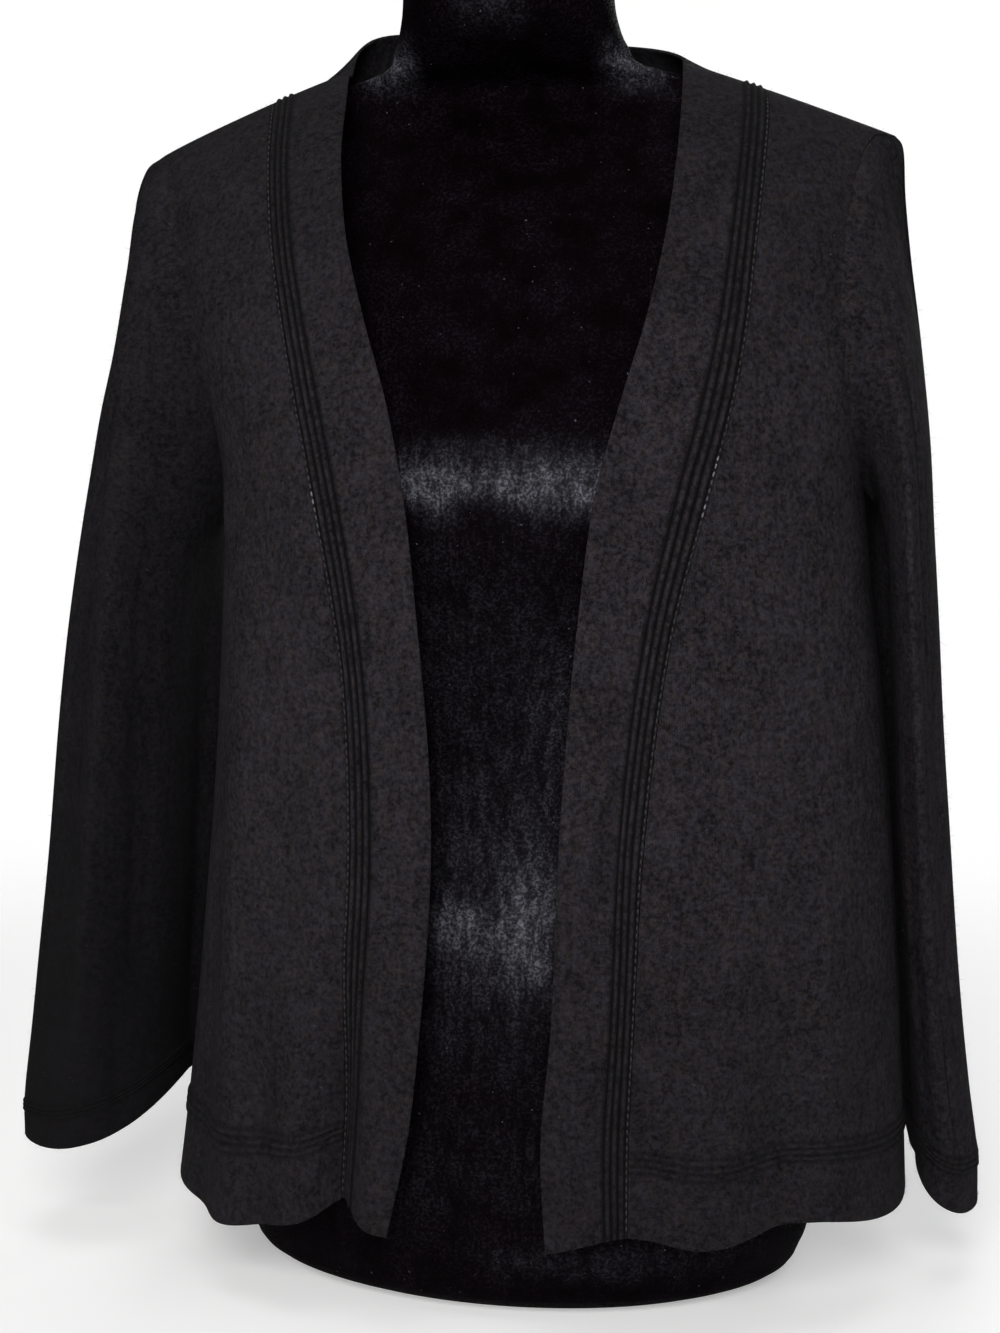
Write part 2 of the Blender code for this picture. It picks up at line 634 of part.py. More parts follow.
def inset(grid, normals, closed):
    """The grid with its edges drawn in by half the seam gap, across the edge and square to the normals."""
    moved = grid.copy()
    edges = [(np.s_[0, :], np.s_[1, :]), (np.s_[-1, :], np.s_[-2, :])]
    if not closed:
        edges += [(np.s_[:, 0], np.s_[:, 1]), (np.s_[:, -1], np.s_[:, -2])]
    for edge, inside in edges:
        line = grid[edge]
        along = np.roll(line, -1, axis=0) - np.roll(line, 1, axis=0)
        if not closed:
            along = np.gradient(line, axis=0)
        across = np.cross(normals[edge], along)
        across /= np.linalg.norm(across, axis=1, keepdims=True)
        facing = np.sign((across * (grid[inside] - line)).sum())
        moved[edge] += across * facing * SEAM_GAP / 2
    return moved


def cloth_wall(grid, own_normals, normals, relief, closed):
    """Vertices and faces of a wall round the grid: a plain inside, and an outside raised by the relief."""
    middle = inset(grid, own_normals + normals, closed)
    outside = middle + normals * (CLOTH_WALL / 2 + relief[:, :, None])
    inside = middle - normals * CLOTH_WALL / 2
    rows, columns = grid.shape[:2]
    vertices = [tuple(point) for point in np.concatenate([outside.reshape(-1, 3), inside.reshape(-1, 3)])]
    under = rows * columns
    order = [tuple(np.round(point, 6)[::-1]) for point in grid.reshape(-1, 3)]
    faces = []

    def add_rim(first, second):
        """Two triangles of the rim, parted the same way as the rim of the piece beyond the seam."""
        if order[first] < order[second]:
            faces.extend([[first, second, under + second], [first, under + second, under + first]])
        else:
            faces.extend([[first, second, under + first], [second, under + second, under + first]])

    spans = columns if closed else columns - 1
    for row in range(rows - 1):
        for column in range(spans):
            start = row * columns + column
            after = row * columns + (column + 1) % columns
            corners = [start, after, after + columns, start + columns]
            faces.append(corners)
            faces.append([under + corner for corner in reversed(corners)])
    last = (rows - 1) * columns
    for column in range(spans):
        after = (column + 1) % columns
        add_rim(after, column)
        add_rim(last + column, last + after)
    if not closed:
        for start in range(0, last, columns):
            add_rim(start, start + columns)
            add_rim(start + 2 * columns - 1, start + columns - 1)
    return vertices, faces


def faces_out(grid, normals):
    """Whether the wall's faces, taken in order, already point out."""
    across = grid[0, 1] - grid[0, 0]
    up = grid[1, 0] - grid[0, 0]
    return np.dot(np.cross(across, up), normals[0, 0]) > 0


def add_object(collection, name, vertices, faces, material):
    mesh = bpy.data.meshes.new(name)
    mesh.from_pydata(vertices, [], faces)
    mesh.update()
    mesh.shade_smooth()
    mesh.set_sharp_from_angle(angle=math.radians(SHARP_ANGLE))
    mesh.materials.append(material)
    collection.objects.link(bpy.data.objects.new(name, mesh))


def add_cloth(collection, name, grid, own_normals, normals, relief, closed, material):
    vertices, faces = cloth_wall(grid, own_normals, normals, relief, closed)
    if not faces_out(grid, normals):
        faces = [face[::-1] for face in faces]
    add_object(collection, name, vertices, faces, material)


def form_levels():
    """The form's sections. On the shoulders its sides keep just under the cloth's shoulder line."""
    top = level_at(ARMHOLE_ROWS[-1])
    top_height = top.inner_height - CLOTH_WALL / 2 - REST_GAP
    levels = list(FORM_TRUNK)
    for height, front, back in zip(FORM_SHOULDER_HEIGHTS, FORM_SHOULDER_FRONT, FORM_SHOULDER_BACK):
        share = ((top_height - height) / (top.inner_height - top.outer_height)) ** (1.0 / SHOULDER_BOW)
        half = NECK_HALF + share * (top.half_left + NECK_CENTRE - NECK_HALF)
        levels.append(FormLevel(height, half, front, back, top.middle, NECK_CENTRE))
    return levels + list(FORM_NECK)


def add_form(collection, material):
    """The form: rings with level ends."""
    vertices = []
    for level in form_levels():
        for side in range(FORM_SIDES):
            turn = 2 * math.pi * side / FORM_SIDES
            depth = level.front if math.sin(turn) < 0 else level.back
            x = level.centre + level.half_width * math.cos(turn)
            vertices.append((x, level.middle + depth * math.sin(turn), level.height))
    count = len(vertices) // FORM_SIDES
    faces = [list(range(FORM_SIDES))[::-1]]
    for row in range(count - 1):
        for side in range(FORM_SIDES):
            after = (side + 1) % FORM_SIDES
            start = row * FORM_SIDES
            following = (row + 1) * FORM_SIDES
            faces.append([start + side, start + after, following + after, following + side])
    faces.append([(count - 1) * FORM_SIDES + side for side in range(FORM_SIDES)])
    add_object(collection, "dress_form", vertices, faces, material)


def make_material(name, colour, roughness, sheen):
    material = bpy.data.materials.new(name)
    material.use_nodes = True
    shader = material.node_tree.nodes["Principled BSDF"]
    shader.inputs["Base Color"].default_value = (*colour, 1.0)
    shader.inputs["Roughness"].default_value = roughness
    shader.inputs["Metallic"].default_value = 0.0
    shader.inputs["Sheen Weight"].default_value = sheen
    return material


def main():
    clear_scene()
    collection = bpy.data.collections.new("cropped_cardigan_on_form")
    bpy.context.scene.collection.children.link(collection)
    knit = make_material("charcoal_knit", (0.019, 0.017, 0.018), 0.92, 0.25)
    velvet = make_material("black_velvet", (0.004, 0.004, 0.005), 0.60, 0.80)

    rows = body_rows()
    _, band_rises = band_shares()
    _, sleeve_rises = sleeve_shares()
    front_left = front_grid(-1, rows)
    front_right = front_grid(1, rows)
    band_left = band_grid(-1, rows)
    band_right = band_grid(1, rows)
    back = back_grid(rows)
    band_neck = neck_band_grid(back, band_left, band_right)
    sleeve_left = sleeve_grid(LEFT_SLEEVE, LEFT_SLEEVE_FOLDS, armhole_ring(front_left, back, -1))
    sleeve_right = sleeve_grid(RIGHT_SLEEVE, RIGHT_SLEEVE_FOLDS, armhole_ring(front_right, back, 1))

    grids = {
        "back": (back, False),
        "front_left": (front_left, False),
        "front_right": (front_right, False),
        "band_left": (band_left, False),
        "band_right": (band_right, False),
        "band_neck": (band_neck, False),
        "sleeve_left": (sleeve_left, True),
        "sleeve_right": (sleeve_right, True),
    }
    hem_rises = hem_rib_relief(rows)
    reliefs = {name: np.zeros(grid.shape[:2]) for name, (grid, _) in grids.items()}
    for name in ("back", "front_left", "front_right"):
        reliefs[name] += hem_rises[:, None]
    for name in ("band_left", "band_right", "band_neck"):
        reliefs[name] += band_rises[None, :]
    for name in ("sleeve_left", "sleeve_right"):
        reliefs[name] += sleeve_rises[:, None]

    own_normals = {name: grid_normals(grid, closed) for name, (grid, closed) in grids.items()}
    normals = share_edge_normals(grids, own_normals)
    for name, (grid, closed) in grids.items():
        add_cloth(collection, name, grid, own_normals[name], normals[name], reliefs[name], closed, knit)
    add_form(collection, velvet)


main()
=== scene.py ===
"""Looks of a cropped open-front cardigan worn by a velvet dress form, in metres, +Z up.

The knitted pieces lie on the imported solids' forms. One shell round the form gives the back, the two fronts
and the two front bands, a band goes on round the back of the neck, and a sleeve hangs from each armhole. Each
piece is a thin closed wall with soft edges, so that its seams show as fine grooves. "Left" is the side at -X.
"""

import sys

import logging
import math
from dataclasses import dataclass, field
from enum import Enum
from typing import NamedTuple

import bpy
import numpy as np
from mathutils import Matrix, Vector


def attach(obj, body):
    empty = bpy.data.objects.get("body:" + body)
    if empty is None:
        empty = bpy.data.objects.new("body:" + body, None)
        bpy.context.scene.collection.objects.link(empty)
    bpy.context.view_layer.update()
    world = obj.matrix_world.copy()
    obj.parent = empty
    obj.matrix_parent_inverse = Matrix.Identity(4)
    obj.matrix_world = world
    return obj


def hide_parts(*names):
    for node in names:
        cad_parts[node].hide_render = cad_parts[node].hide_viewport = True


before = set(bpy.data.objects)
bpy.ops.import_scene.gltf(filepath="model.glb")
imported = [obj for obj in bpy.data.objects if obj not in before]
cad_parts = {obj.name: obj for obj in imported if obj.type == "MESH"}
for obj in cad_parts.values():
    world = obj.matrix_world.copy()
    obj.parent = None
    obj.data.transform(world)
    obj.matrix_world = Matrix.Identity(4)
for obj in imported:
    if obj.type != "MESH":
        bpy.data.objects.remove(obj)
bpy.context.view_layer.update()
LOG = logging.getLogger("cardigan")


class Side(Enum):
    """A side of the garment, as the sign of X there."""

    LEFT = -1
    RIGHT = 1


class Face(Enum):
    """The front or back half of the body shell, as the sign of Y there."""

    FRONT = -1
    BACK = 1


class Held(Enum):
    """How a piece of cloth is held up."""

    DRAPED = "draped"
    HUNG = "hung"


class Slot(Enum):
    """The record's material slots."""

    KNIT = "knit"
    VELVET = "velvet"


class Edge(Enum):
    """An edge of a piece's grid."""

    FIRST_ROW = "first row"
    LAST_ROW = "last row"
    FIRST_COLUMN = "first column"
    LAST_COLUMN = "last column"


class Level(NamedTuple):
    """One section of the body shell, `run` up the cloth from the hem."""

    run: float
    inner_height: float
    outer_height: float
    half_left: float
    half_right: float
    front: float
    back: float
    middle: float
    armhole: float
    fullness: float


LEVELS = (
    Level(0.000, 0.050, 0.048, 0.187, 0.2035, 0.1215, 0.112, 0.000, 0.0, 2.4),
    Level(0.060, 0.110, 0.109, 0.179, 0.2010, 0.1210, 0.109, 0.000, 0.0, 2.4),
    Level(0.140, 0.190, 0.190, 0.171, 0.1965, 0.1205, 0.106, 0.000, 0.0, 2.4),
    Level(0.240, 0.290, 0.289, 0.162, 0.1890, 0.1205, 0.102, 0.000, 0.0, 2.4),
    Level(0.320, 0.370, 0.366, 0.157, 0.1810, 0.1210, 0.100, 0.000, 0.0, 2.4),
    Level(0.372, 0.422, 0.414, 0.156, 0.1765, 0.1195, 0.100, 0.001, 0.0, 2.4),
    Level(0.414, 0.463, 0.451, 0.164, 0.1765, 0.1120, 0.101, 0.002, 15.0, 2.4),
    Level(0.452, 0.501, 0.484, 0.175, 0.1790, 0.1010, 0.101, 0.004, 23.0, 2.5),
    Level(0.492, 0.541, 0.518, 0.186, 0.1820, 0.0870, 0.097, 0.006, 27.0, 2.6),
    Level(0.530, 0.577, 0.548, 0.194, 0.1850, 0.0710, 0.087, 0.008, 28.0, 2.8),
    Level(0.560, 0.602, 0.569, 0.199, 0.1870, 0.0550, 0.072, 0.010, 28.0, 3.1),
    Level(0.585, 0.6195, 0.583, 0.202, 0.1885, 0.0370, 0.052, 0.011, 26.0, 3.5),
    Level(0.605, 0.6295, 0.590, 0.2035, 0.1890, 0.0190, 0.028, 0.012, 20.0, 3.8),
    Level(0.622, 0.633, 0.593, 0.2035, 0.1890, 0.0000, 0.000, 0.012, 0.0, 4.0),
)


class BandEdge(NamedTuple):
    """How far the edges of the front bands are from the middle, `run` up the cloth."""

    run: float
    left_inner: float
    left_outer: float
    right_inner: float
    right_outer: float


BAND_EDGES = (
    BandEdge(0.000, 0.0435, 0.0750, 0.0350, 0.0750),
    BandEdge(0.050, 0.0330, 0.0730, 0.0325, 0.0750),
    BandEdge(0.100, 0.0275, 0.0700, 0.0370, 0.0770),
    BandEdge(0.200, 0.0215, 0.0650, 0.0412, 0.0818),
    BandEdge(0.300, 0.0280, 0.0710, 0.0493, 0.0945),
    BandEdge(0.370, 0.0368, 0.0860, 0.0585, 0.1110),
    BandEdge(0.410, 0.0465, 0.0965, 0.0680, 0.1190),
    BandEdge(0.450, 0.0610, 0.1065, 0.0780, 0.1245),
    BandEdge(0.490, 0.0740, 0.1155, 0.0845, 0.1270),
    BandEdge(0.530, 0.0815, 0.1220, 0.0872, 0.1290),
    BandEdge(0.580, 0.0870, 0.1290, 0.0860, 0.1290),
    BandEdge(0.622, 0.0960, 0.1380, 0.0810, 0.1240),
)


class Fold(NamedTuple):
    """A soft ridge (depth over 0) or trough of the body, from its low end to its high end."""

    face: Face
    low_x: float
    low_height: float
    high_x: float
    high_height: float
    width: float
    depth: float


BODY_FOLDS = (
    Fold(Face.FRONT, -0.0745, 0.04, -0.066, 0.20, 0.0095, -0.0130),
    Fold(Face.FRONT, -0.098, 0.04, -0.088, 0.24, 0.0150, 0.0060),
    Fold(Face.FRONT, -0.046, 0.04, -0.042, 0.22, 0.0130, 0.0040),
    Fold(Face.FRONT, -0.076, 0.33, -0.104, 0.46, 0.0110, 0.0030),
    Fold(Face.FRONT, -0.134, 0.06, -0.122, 0.42, 0.0140, 0.0045),
    Fold(Face.FRONT, -0.160, 0.06, -0.144, 0.36, 0.0110, -0.0040),
    Fold(Face.FRONT, 0.064, 0.19, 0.079, 0.39, 0.0080, -0.0060),
    Fold(Face.FRONT, 0.050, 0.05, 0.049, 0.30, 0.0110, 0.0030),
    Fold(Face.FRONT, 0.091, 0.04, 0.086, 0.16, 0.0110, -0.0040),
    Fold(Face.FRONT, 0.116, 0.04, 0.126, 0.34, 0.0200, 0.0045),
    Fold(Face.FRONT, 0.144, 0.04, 0.149, 0.21, 0.0120, -0.0045),
    Fold(Face.FRONT, 0.168, 0.08, 0.160, 0.40, 0.0130, 0.0040),
    Fold(Face.FRONT, 0.142, 0.47, 0.154, 0.54, 0.0140, -0.0035),
    Fold(Face.BACK, -0.138, 0.05, -0.112, 0.44, 0.0150, 0.0060),
    Fold(Face.BACK, -0.100, 0.04, -0.084, 0.33, 0.0140, -0.0050),
    Fold(Face.BACK, -0.052, 0.04, -0.048, 0.38, 0.0170, 0.0060),
    Fold(Face.BACK, 0.004, 0.04, -0.004, 0.27, 0.0170, -0.0040),
    Fold(Face.BACK, 0.056, 0.04, 0.047, 0.42, 0.0160, 0.0060),
    Fold(Face.BACK, 0.106, 0.04, 0.088, 0.31, 0.0140, -0.0050),
    Fold(Face.BACK, 0.154, 0.05, 0.122, 0.45, 0.0160, 0.0065),
)

# Finer creases, which only the shown cloth has.
BODY_CREASES = (
    Fold(Face.FRONT, -0.112, 0.05, -0.110, 0.17, 0.0060, -0.0012),
    Fold(Face.FRONT, -0.055, 0.05, -0.052, 0.13, 0.0050, 0.0012),
    Fold(Face.FRONT, -0.074, 0.10, -0.090, 0.36, 0.0055, 0.0014),
    Fold(Face.FRONT, -0.118, 0.40, -0.150, 0.47, 0.0090, -0.0014),
    Fold(Face.FRONT, -0.140, 0.38, -0.160, 0.44, 0.0060, 0.0014),
    Fold(Face.FRONT, 0.058, 0.20, 0.072, 0.31, 0.0035, -0.0014),
    Fold(Face.FRONT, 0.071, 0.26, 0.083, 0.38, 0.0040, 0.0014),
    Fold(Face.FRONT, 0.132, 0.39, 0.160, 0.47, 0.0080, -0.0016),
    Fold(Face.FRONT, 0.130, 0.05, 0.133, 0.14, 0.0070, -0.0014),
    Fold(Face.FRONT, 0.158, 0.05, 0.160, 0.17, 0.0060, 0.0014),
    Fold(Face.FRONT, 0.098, 0.42, 0.120, 0.50, 0.0080, 0.0014),
    Fold(Face.BACK, -0.120, 0.38, -0.150, 0.47, 0.0080, -0.0018),
    Fold(Face.BACK, 0.118, 0.37, 0.150, 0.46, 0.0090, -0.0018),
    Fold(Face.BACK, -0.076, 0.05, -0.070, 0.19, 0.0070, 0.0014),
    Fold(Face.BACK, 0.028, 0.05, 0.024, 0.16, 0.0070, 0.0014),
    Fold(Face.BACK, 0.128, 0.05, 0.124, 0.20, 0.0070, -0.0014),
    Fold(Face.BACK, -0.020, 0.42, -0.010, 0.55, 0.0160, 0.0016),
    Fold(Face.BACK, 0.060, 0.45, 0.076, 0.56, 0.0140, -0.0014),
)


class HemShape(NamedTuple):
    """Where the hem is lifted (over 0) or dips."""

    face: Face
    x: float
    width: float
    lift: float


HEM_SHAPES = (
    HemShape(Face.FRONT, -0.073, 0.011, 0.010),
    HemShape(Face.FRONT, -0.044, 0.012, -0.002),
    HemShape(Face.FRONT, -0.142, 0.038, -0.011),
    HemShape(Face.BACK, -0.150, 0.040, -0.013),
    HemShape(Face.FRONT, 0.035, 0.012, -0.005),
    HemShape(Face.FRONT, 0.074, 0.014, 0.004),
    HemShape(Face.FRONT, 0.107, 0.012, -0.001),
    HemShape(Face.FRONT, 0.160, 0.026, 0.010),
    HemShape(Face.BACK, 0.150, 0.030, 0.004),
    HemShape(Face.BACK, 0.060, 0.030, -0.003),
    HemShape(Face.BACK, -0.030, 0.030, 0.003),
)


class NeckEdge(NamedTuple):
    """A place on the upper edge of the band behind the neck, `share` of the way from left to right."""

    share: float
    x: float
    y: float
    height: float


NECK_EDGES = (
    NeckEdge(0.000, -0.0960, 0.012, 0.6330),
    NeckEdge(0.125, -0.0955, 0.028, 0.6500),
    NeckEdge(0.250, -0.0840, 0.044, 0.6600),
    NeckEdge(0.375, -0.0530, 0.058, 0.6615),
    NeckEdge(0.500, -0.0080, 0.064, 0.6575),
    NeckEdge(0.625, 0.0360, 0.059, 0.6530),
    NeckEdge(0.750, 0.0625, 0.045, 0.6470),
    NeckEdge(0.875, 0.0770, 0.028, 0.6400),
    NeckEdge(1.000, 0.0810, 0.012, 0.6330),
)


class SleeveRing(NamedTuple):
    """A section of a sleeve: its outer and inner points, and its middle and half depth in Y.

    Its front hangs lower by its drop, and its inner back reaches further in by its swell.
    """

    share: float
    outer_x: float
    outer_height: float
    inner_x: float
    inner_height: float
    middle: float
    half_depth: float
    front_drop: float
    back_swell: float


LEFT_RINGS = (
    SleeveRing(0 / 13, -0.2035, 0.593, -0.156, 0.414, 0.003, 0.050, 0.000, 0.000),
    SleeveRing(1 / 13, -0.2120, 0.586, -0.160, 0.409, 0.003, 0.052, 0.000, 0.000),
    SleeveRing(2 / 13, -0.2175, 0.566, -0.164, 0.403, 0.003, 0.054, 0.000, 0.000),
    SleeveRing(3 / 13, -0.2175, 0.535, -0.169, 0.395, 0.003, 0.057, 0.000, 0.000),
    SleeveRing(4 / 13, -0.2205, 0.493, -0.174, 0.384, 0.003, 0.060, 0.000, 0.000),
    SleeveRing(5 / 13, -0.2290, 0.451, -0.178, 0.367, 0.003, 0.062, 0.000, 0.006),
    SleeveRing(6 / 13, -0.2380, 0.400, -0.181, 0.340, 0.003, 0.064, 0.000, 0.020),
    SleeveRing(7 / 13, -0.2455, 0.348, -0.183, 0.305, 0.003, 0.064, 0.000, 0.036),
    SleeveRing(8 / 13, -0.2530, 0.285, -0.185, 0.258, 0.002, 0.062, 0.000, 0.044),
    SleeveRing(9 / 13, -0.2600, 0.217, -0.187, 0.208, 0.001, 0.060, 0.000, 0.046),
    SleeveRing(10 / 13, -0.2670, 0.160, -0.189, 0.166, -0.001, 0.057, 0.001, 0.044),
    SleeveRing(11 / 13, -0.2730, 0.112, -0.190, 0.133, -0.003, 0.054, 0.004, 0.040),
    SleeveRing(12 / 13, -0.2790, 0.076, -0.190, 0.110, -0.004, 0.051, 0.010, 0.026),
    SleeveRing(13 / 13, -0.2810, 0.055, -0.190, 0.093, -0.005, 0.049, 0.016, 0.012),
)

RIGHT_RINGS = (
    SleeveRing(0 / 13, 0.1890, 0.593, 0.1765, 0.414, 0.003, 0.050, 0.000, 0.000),
    SleeveRing(1 / 13, 0.1930, 0.586, 0.1805, 0.410, 0.004, 0.051, 0.000, 0.000),
    SleeveRing(2 / 13, 0.1945, 0.562, 0.1845, 0.405, 0.006, 0.053, 0.000, 0.006),
    SleeveRing(3 / 13, 0.1980, 0.530, 0.1870, 0.398, 0.008, 0.056, 0.000, 0.015),
    SleeveRing(4 / 13, 0.2035, 0.490, 0.1890, 0.388, 0.011, 0.059, 0.000, 0.025),
    SleeveRing(5 / 13, 0.2090, 0.440, 0.1905, 0.372, 0.014, 0.061, 0.000, 0.033),
    SleeveRing(6 / 13, 0.2120, 0.392, 0.1915, 0.346, 0.018, 0.062, 0.000, 0.037),
    SleeveRing(7 / 13, 0.2155, 0.340, 0.1935, 0.310, 0.022, 0.062, 0.000, 0.034),
    SleeveRing(8 / 13, 0.2190, 0.278, 0.1960, 0.260, 0.026, 0.061, 0.000, 0.030),
    SleeveRing(9 / 13, 0.2235, 0.212, 0.1990, 0.206, 0.030, 0.059, 0.000, 0.028),
    SleeveRing(10 / 13, 0.2285, 0.152, 0.2025, 0.157, 0.033, 0.056, 0.000, 0.026),
    SleeveRing(11 / 13, 0.2340, 0.102, 0.2055, 0.115, 0.036, 0.053, 0.001, 0.026),
    SleeveRing(12 / 13, 0.2390, 0.066, 0.2080, 0.083, 0.037, 0.050, 0.002, 0.022),
    SleeveRing(13 / 13, 0.2410, 0.036, 0.2095, 0.056, 0.038, 0.048, 0.003, 0.012),
)


class SleeveFold(NamedTuple):
    """A soft ridge or trough along a sleeve, which leans round it by `lean` degrees on its way down.

    The turn is 0 at the sleeve's outer line, 90 in front and 180 at its inner line.
    """

    turn: float
    width: float
    depth: float
    start: float
    end: float
    lean: float = 0.0


LEFT_SLEEVE_FOLDS = (
    SleeveFold(62.0, 16.0, -0.0065, 0.28, 0.80),
    SleeveFold(98.0, 17.0, 0.0050, 0.26, 0.98),
    SleeveFold(128.0, 13.0, -0.0050, 0.34, 0.90),
    SleeveFold(28.0, 16.0, 0.0030, 0.40, 1.05),
    SleeveFold(238.0, 18.0, -0.0060, 0.30, 0.86),
    SleeveFold(286.0, 18.0, 0.0040, 0.34, 1.00),
    SleeveFold(322.0, 14.0, -0.0040, 0.46, 0.96),
)

RIGHT_SLEEVE_FOLDS = (
    SleeveFold(50.0, 15.0, -0.0050, 0.26, 0.88),
    SleeveFold(84.0, 15.0, 0.0045, 0.22, 0.70),
    SleeveFold(112.0, 14.0, -0.0050, 0.50, 0.98),
    SleeveFold(20.0, 14.0, 0.0030, 0.52, 1.05),
    SleeveFold(248.0, 18.0, -0.0060, 0.28, 0.84),
    SleeveFold(292.0, 18.0, 0.0045, 0.36, 1.00),
    SleeveFold(330.0, 14.0, -0.0035, 0.46, 0.94),
)

LEFT_SLEEVE_CREASES = (
    SleeveFold(118.0, 5.0, -0.0030, 0.30, 0.86, 4.0),
    SleeveFold(92.0, 6.0, 0.0022, 0.34, 0.92, -5.0),
    SleeveFold(70.0, 6.0, -0.0024, 0.26, 0.74, 6.0),
    SleeveFold(80.0, 6.0, 0.0014, 0.22, 0.62, 8.0),
    SleeveFold(46.0, 7.0, -0.0014, 0.46, 0.90, -6.0),
    SleeveFold(112.0, 6.0, -0.0014, 0.56, 1.04, 6.0),
    SleeveFold(150.0, 8.0, 0.0015, 0.16, 0.50, -22.0),
    SleeveFold(120.0, 7.0, -0.0014, 0.10, 0.34, -24.0),
    SleeveFold(214.0, 8.0, 0.0016, 0.14, 0.52, 20.0),
    SleeveFold(262.0, 7.0, -0.0014, 0.36, 0.84, 8.0),
    SleeveFold(304.0, 8.0, 0.0014, 0.55, 1.02, -6.0),
)

RIGHT_SLEEVE_CREASES = (
    SleeveFold(60.0, 4.5, -0.0036, 0.10, 0.66, 4.0),
    SleeveFold(49.0, 5.0, 0.0018, 0.12, 0.66, 4.0),
    SleeveFold(72.0, 5.0, -0.0026, 0.44, 0.98, -5.0),
    SleeveFold(86.0, 5.0, 0.0018, 0.20, 0.58, 6.0),
    SleeveFold(71.0, 5.0, 0.0014, 0.24, 0.66, -2.0),
    SleeveFold(98.0, 6.0, -0.0013, 0.40, 0.86, 5.0),
    SleeveFold(34.0, 7.0, 0.0013, 0.50, 1.02, 5.0),
    SleeveFold(148.0, 8.0, 0.0015, 0.14, 0.46, -22.0),
    SleeveFold(118.0, 7.0, -0.0015, 0.08, 0.32, -26.0),
    SleeveFold(216.0, 8.0, 0.0016, 0.16, 0.54, 18.0),
    SleeveFold(270.0, 7.0, -0.0014, 0.40, 0.88, -8.0),
    SleeveFold(310.0, 8.0, 0.0014, 0.50, 1.00, 6.0),
)


class FormLevel(NamedTuple):
    """One level section of the dress form."""

    height: float
    half_width: float
    front: float
    back: float
    middle: float
    centre: float


FORM_LEVELS = (
    FormLevel(0.000, 0.126, 0.080, 0.076, 0.000, 0.000),
    FormLevel(0.006, 0.141, 0.092, 0.087, 0.000, 0.000),
    FormLevel(0.019, 0.151, 0.100, 0.094, 0.000, 0.000),
    FormLevel(0.042, 0.156, 0.105, 0.098, 0.000, 0.000),
    FormLevel(0.080, 0.156, 0.106, 0.099, 0.000, 0.000),
    FormLevel(0.125, 0.152, 0.106, 0.097, 0.000, -0.001),
    FormLevel(0.170, 0.144, 0.104, 0.091, 0.000, -0.002),
    FormLevel(0.215, 0.132, 0.097, 0.081, 0.000, -0.003),
    FormLevel(0.258, 0.123, 0.090, 0.074, 0.000, -0.003),
    FormLevel(0.300, 0.126, 0.092, 0.076, 0.000, -0.002),
    FormLevel(0.345, 0.133, 0.102, 0.081, 0.000, -0.001),
    FormLevel(0.390, 0.138, 0.114, 0.086, 0.000, 0.001),
    FormLevel(0.428, 0.141, 0.112, 0.089, 0.001, 0.001),
    FormLevel(0.470, 0.146, 0.098, 0.092, 0.003, -0.001),
    FormLevel(0.510, 0.154, 0.080, 0.090, 0.006, -0.004),
    FormLevel(0.545, 0.162, 0.061, 0.075, 0.009, -0.006),
    FormLevel(0.570, 0.168, 0.046, 0.057, 0.011, -0.007),
    FormLevel(0.588, 0.172, 0.034, 0.040, 0.012, -0.008),
    FormLevel(0.600, 0.165, 0.027, 0.028, 0.012, -0.008),
    FormLevel(0.609, 0.144, 0.021, 0.021, 0.012, -0.008),
    FormLevel(0.617, 0.124, 0.018, 0.017, 0.012, -0.008),
    FormLevel(0.624, 0.105, 0.020, 0.019, 0.012, -0.008),
    FormLevel(0.632, 0.071, 0.034, 0.034, 0.009, -0.008),
    FormLevel(0.642, 0.062, 0.045, 0.045, 0.004, -0.008),
    FormLevel(0.655, 0.057, 0.051, 0.051, 0.000, -0.008),
    FormLevel(0.674, 0.055, 0.052, 0.052, -0.003, -0.008),
    FormLevel(0.693, 0.0545, 0.052, 0.052, -0.005, -0.008),
    FormLevel(0.698, 0.0525, 0.050, 0.050, -0.005, -0.008),
    FormLevel(0.700, 0.048, 0.0455, 0.0455, -0.005, -0.008),
)


class PaintedHighlight(NamedTuple):
    """A painted highlight: a place on the form's front or back that is painted pale, as if lit."""

    face: Face
    x: float
    height: float
    half_width: float
    half_height: float
    strength: float


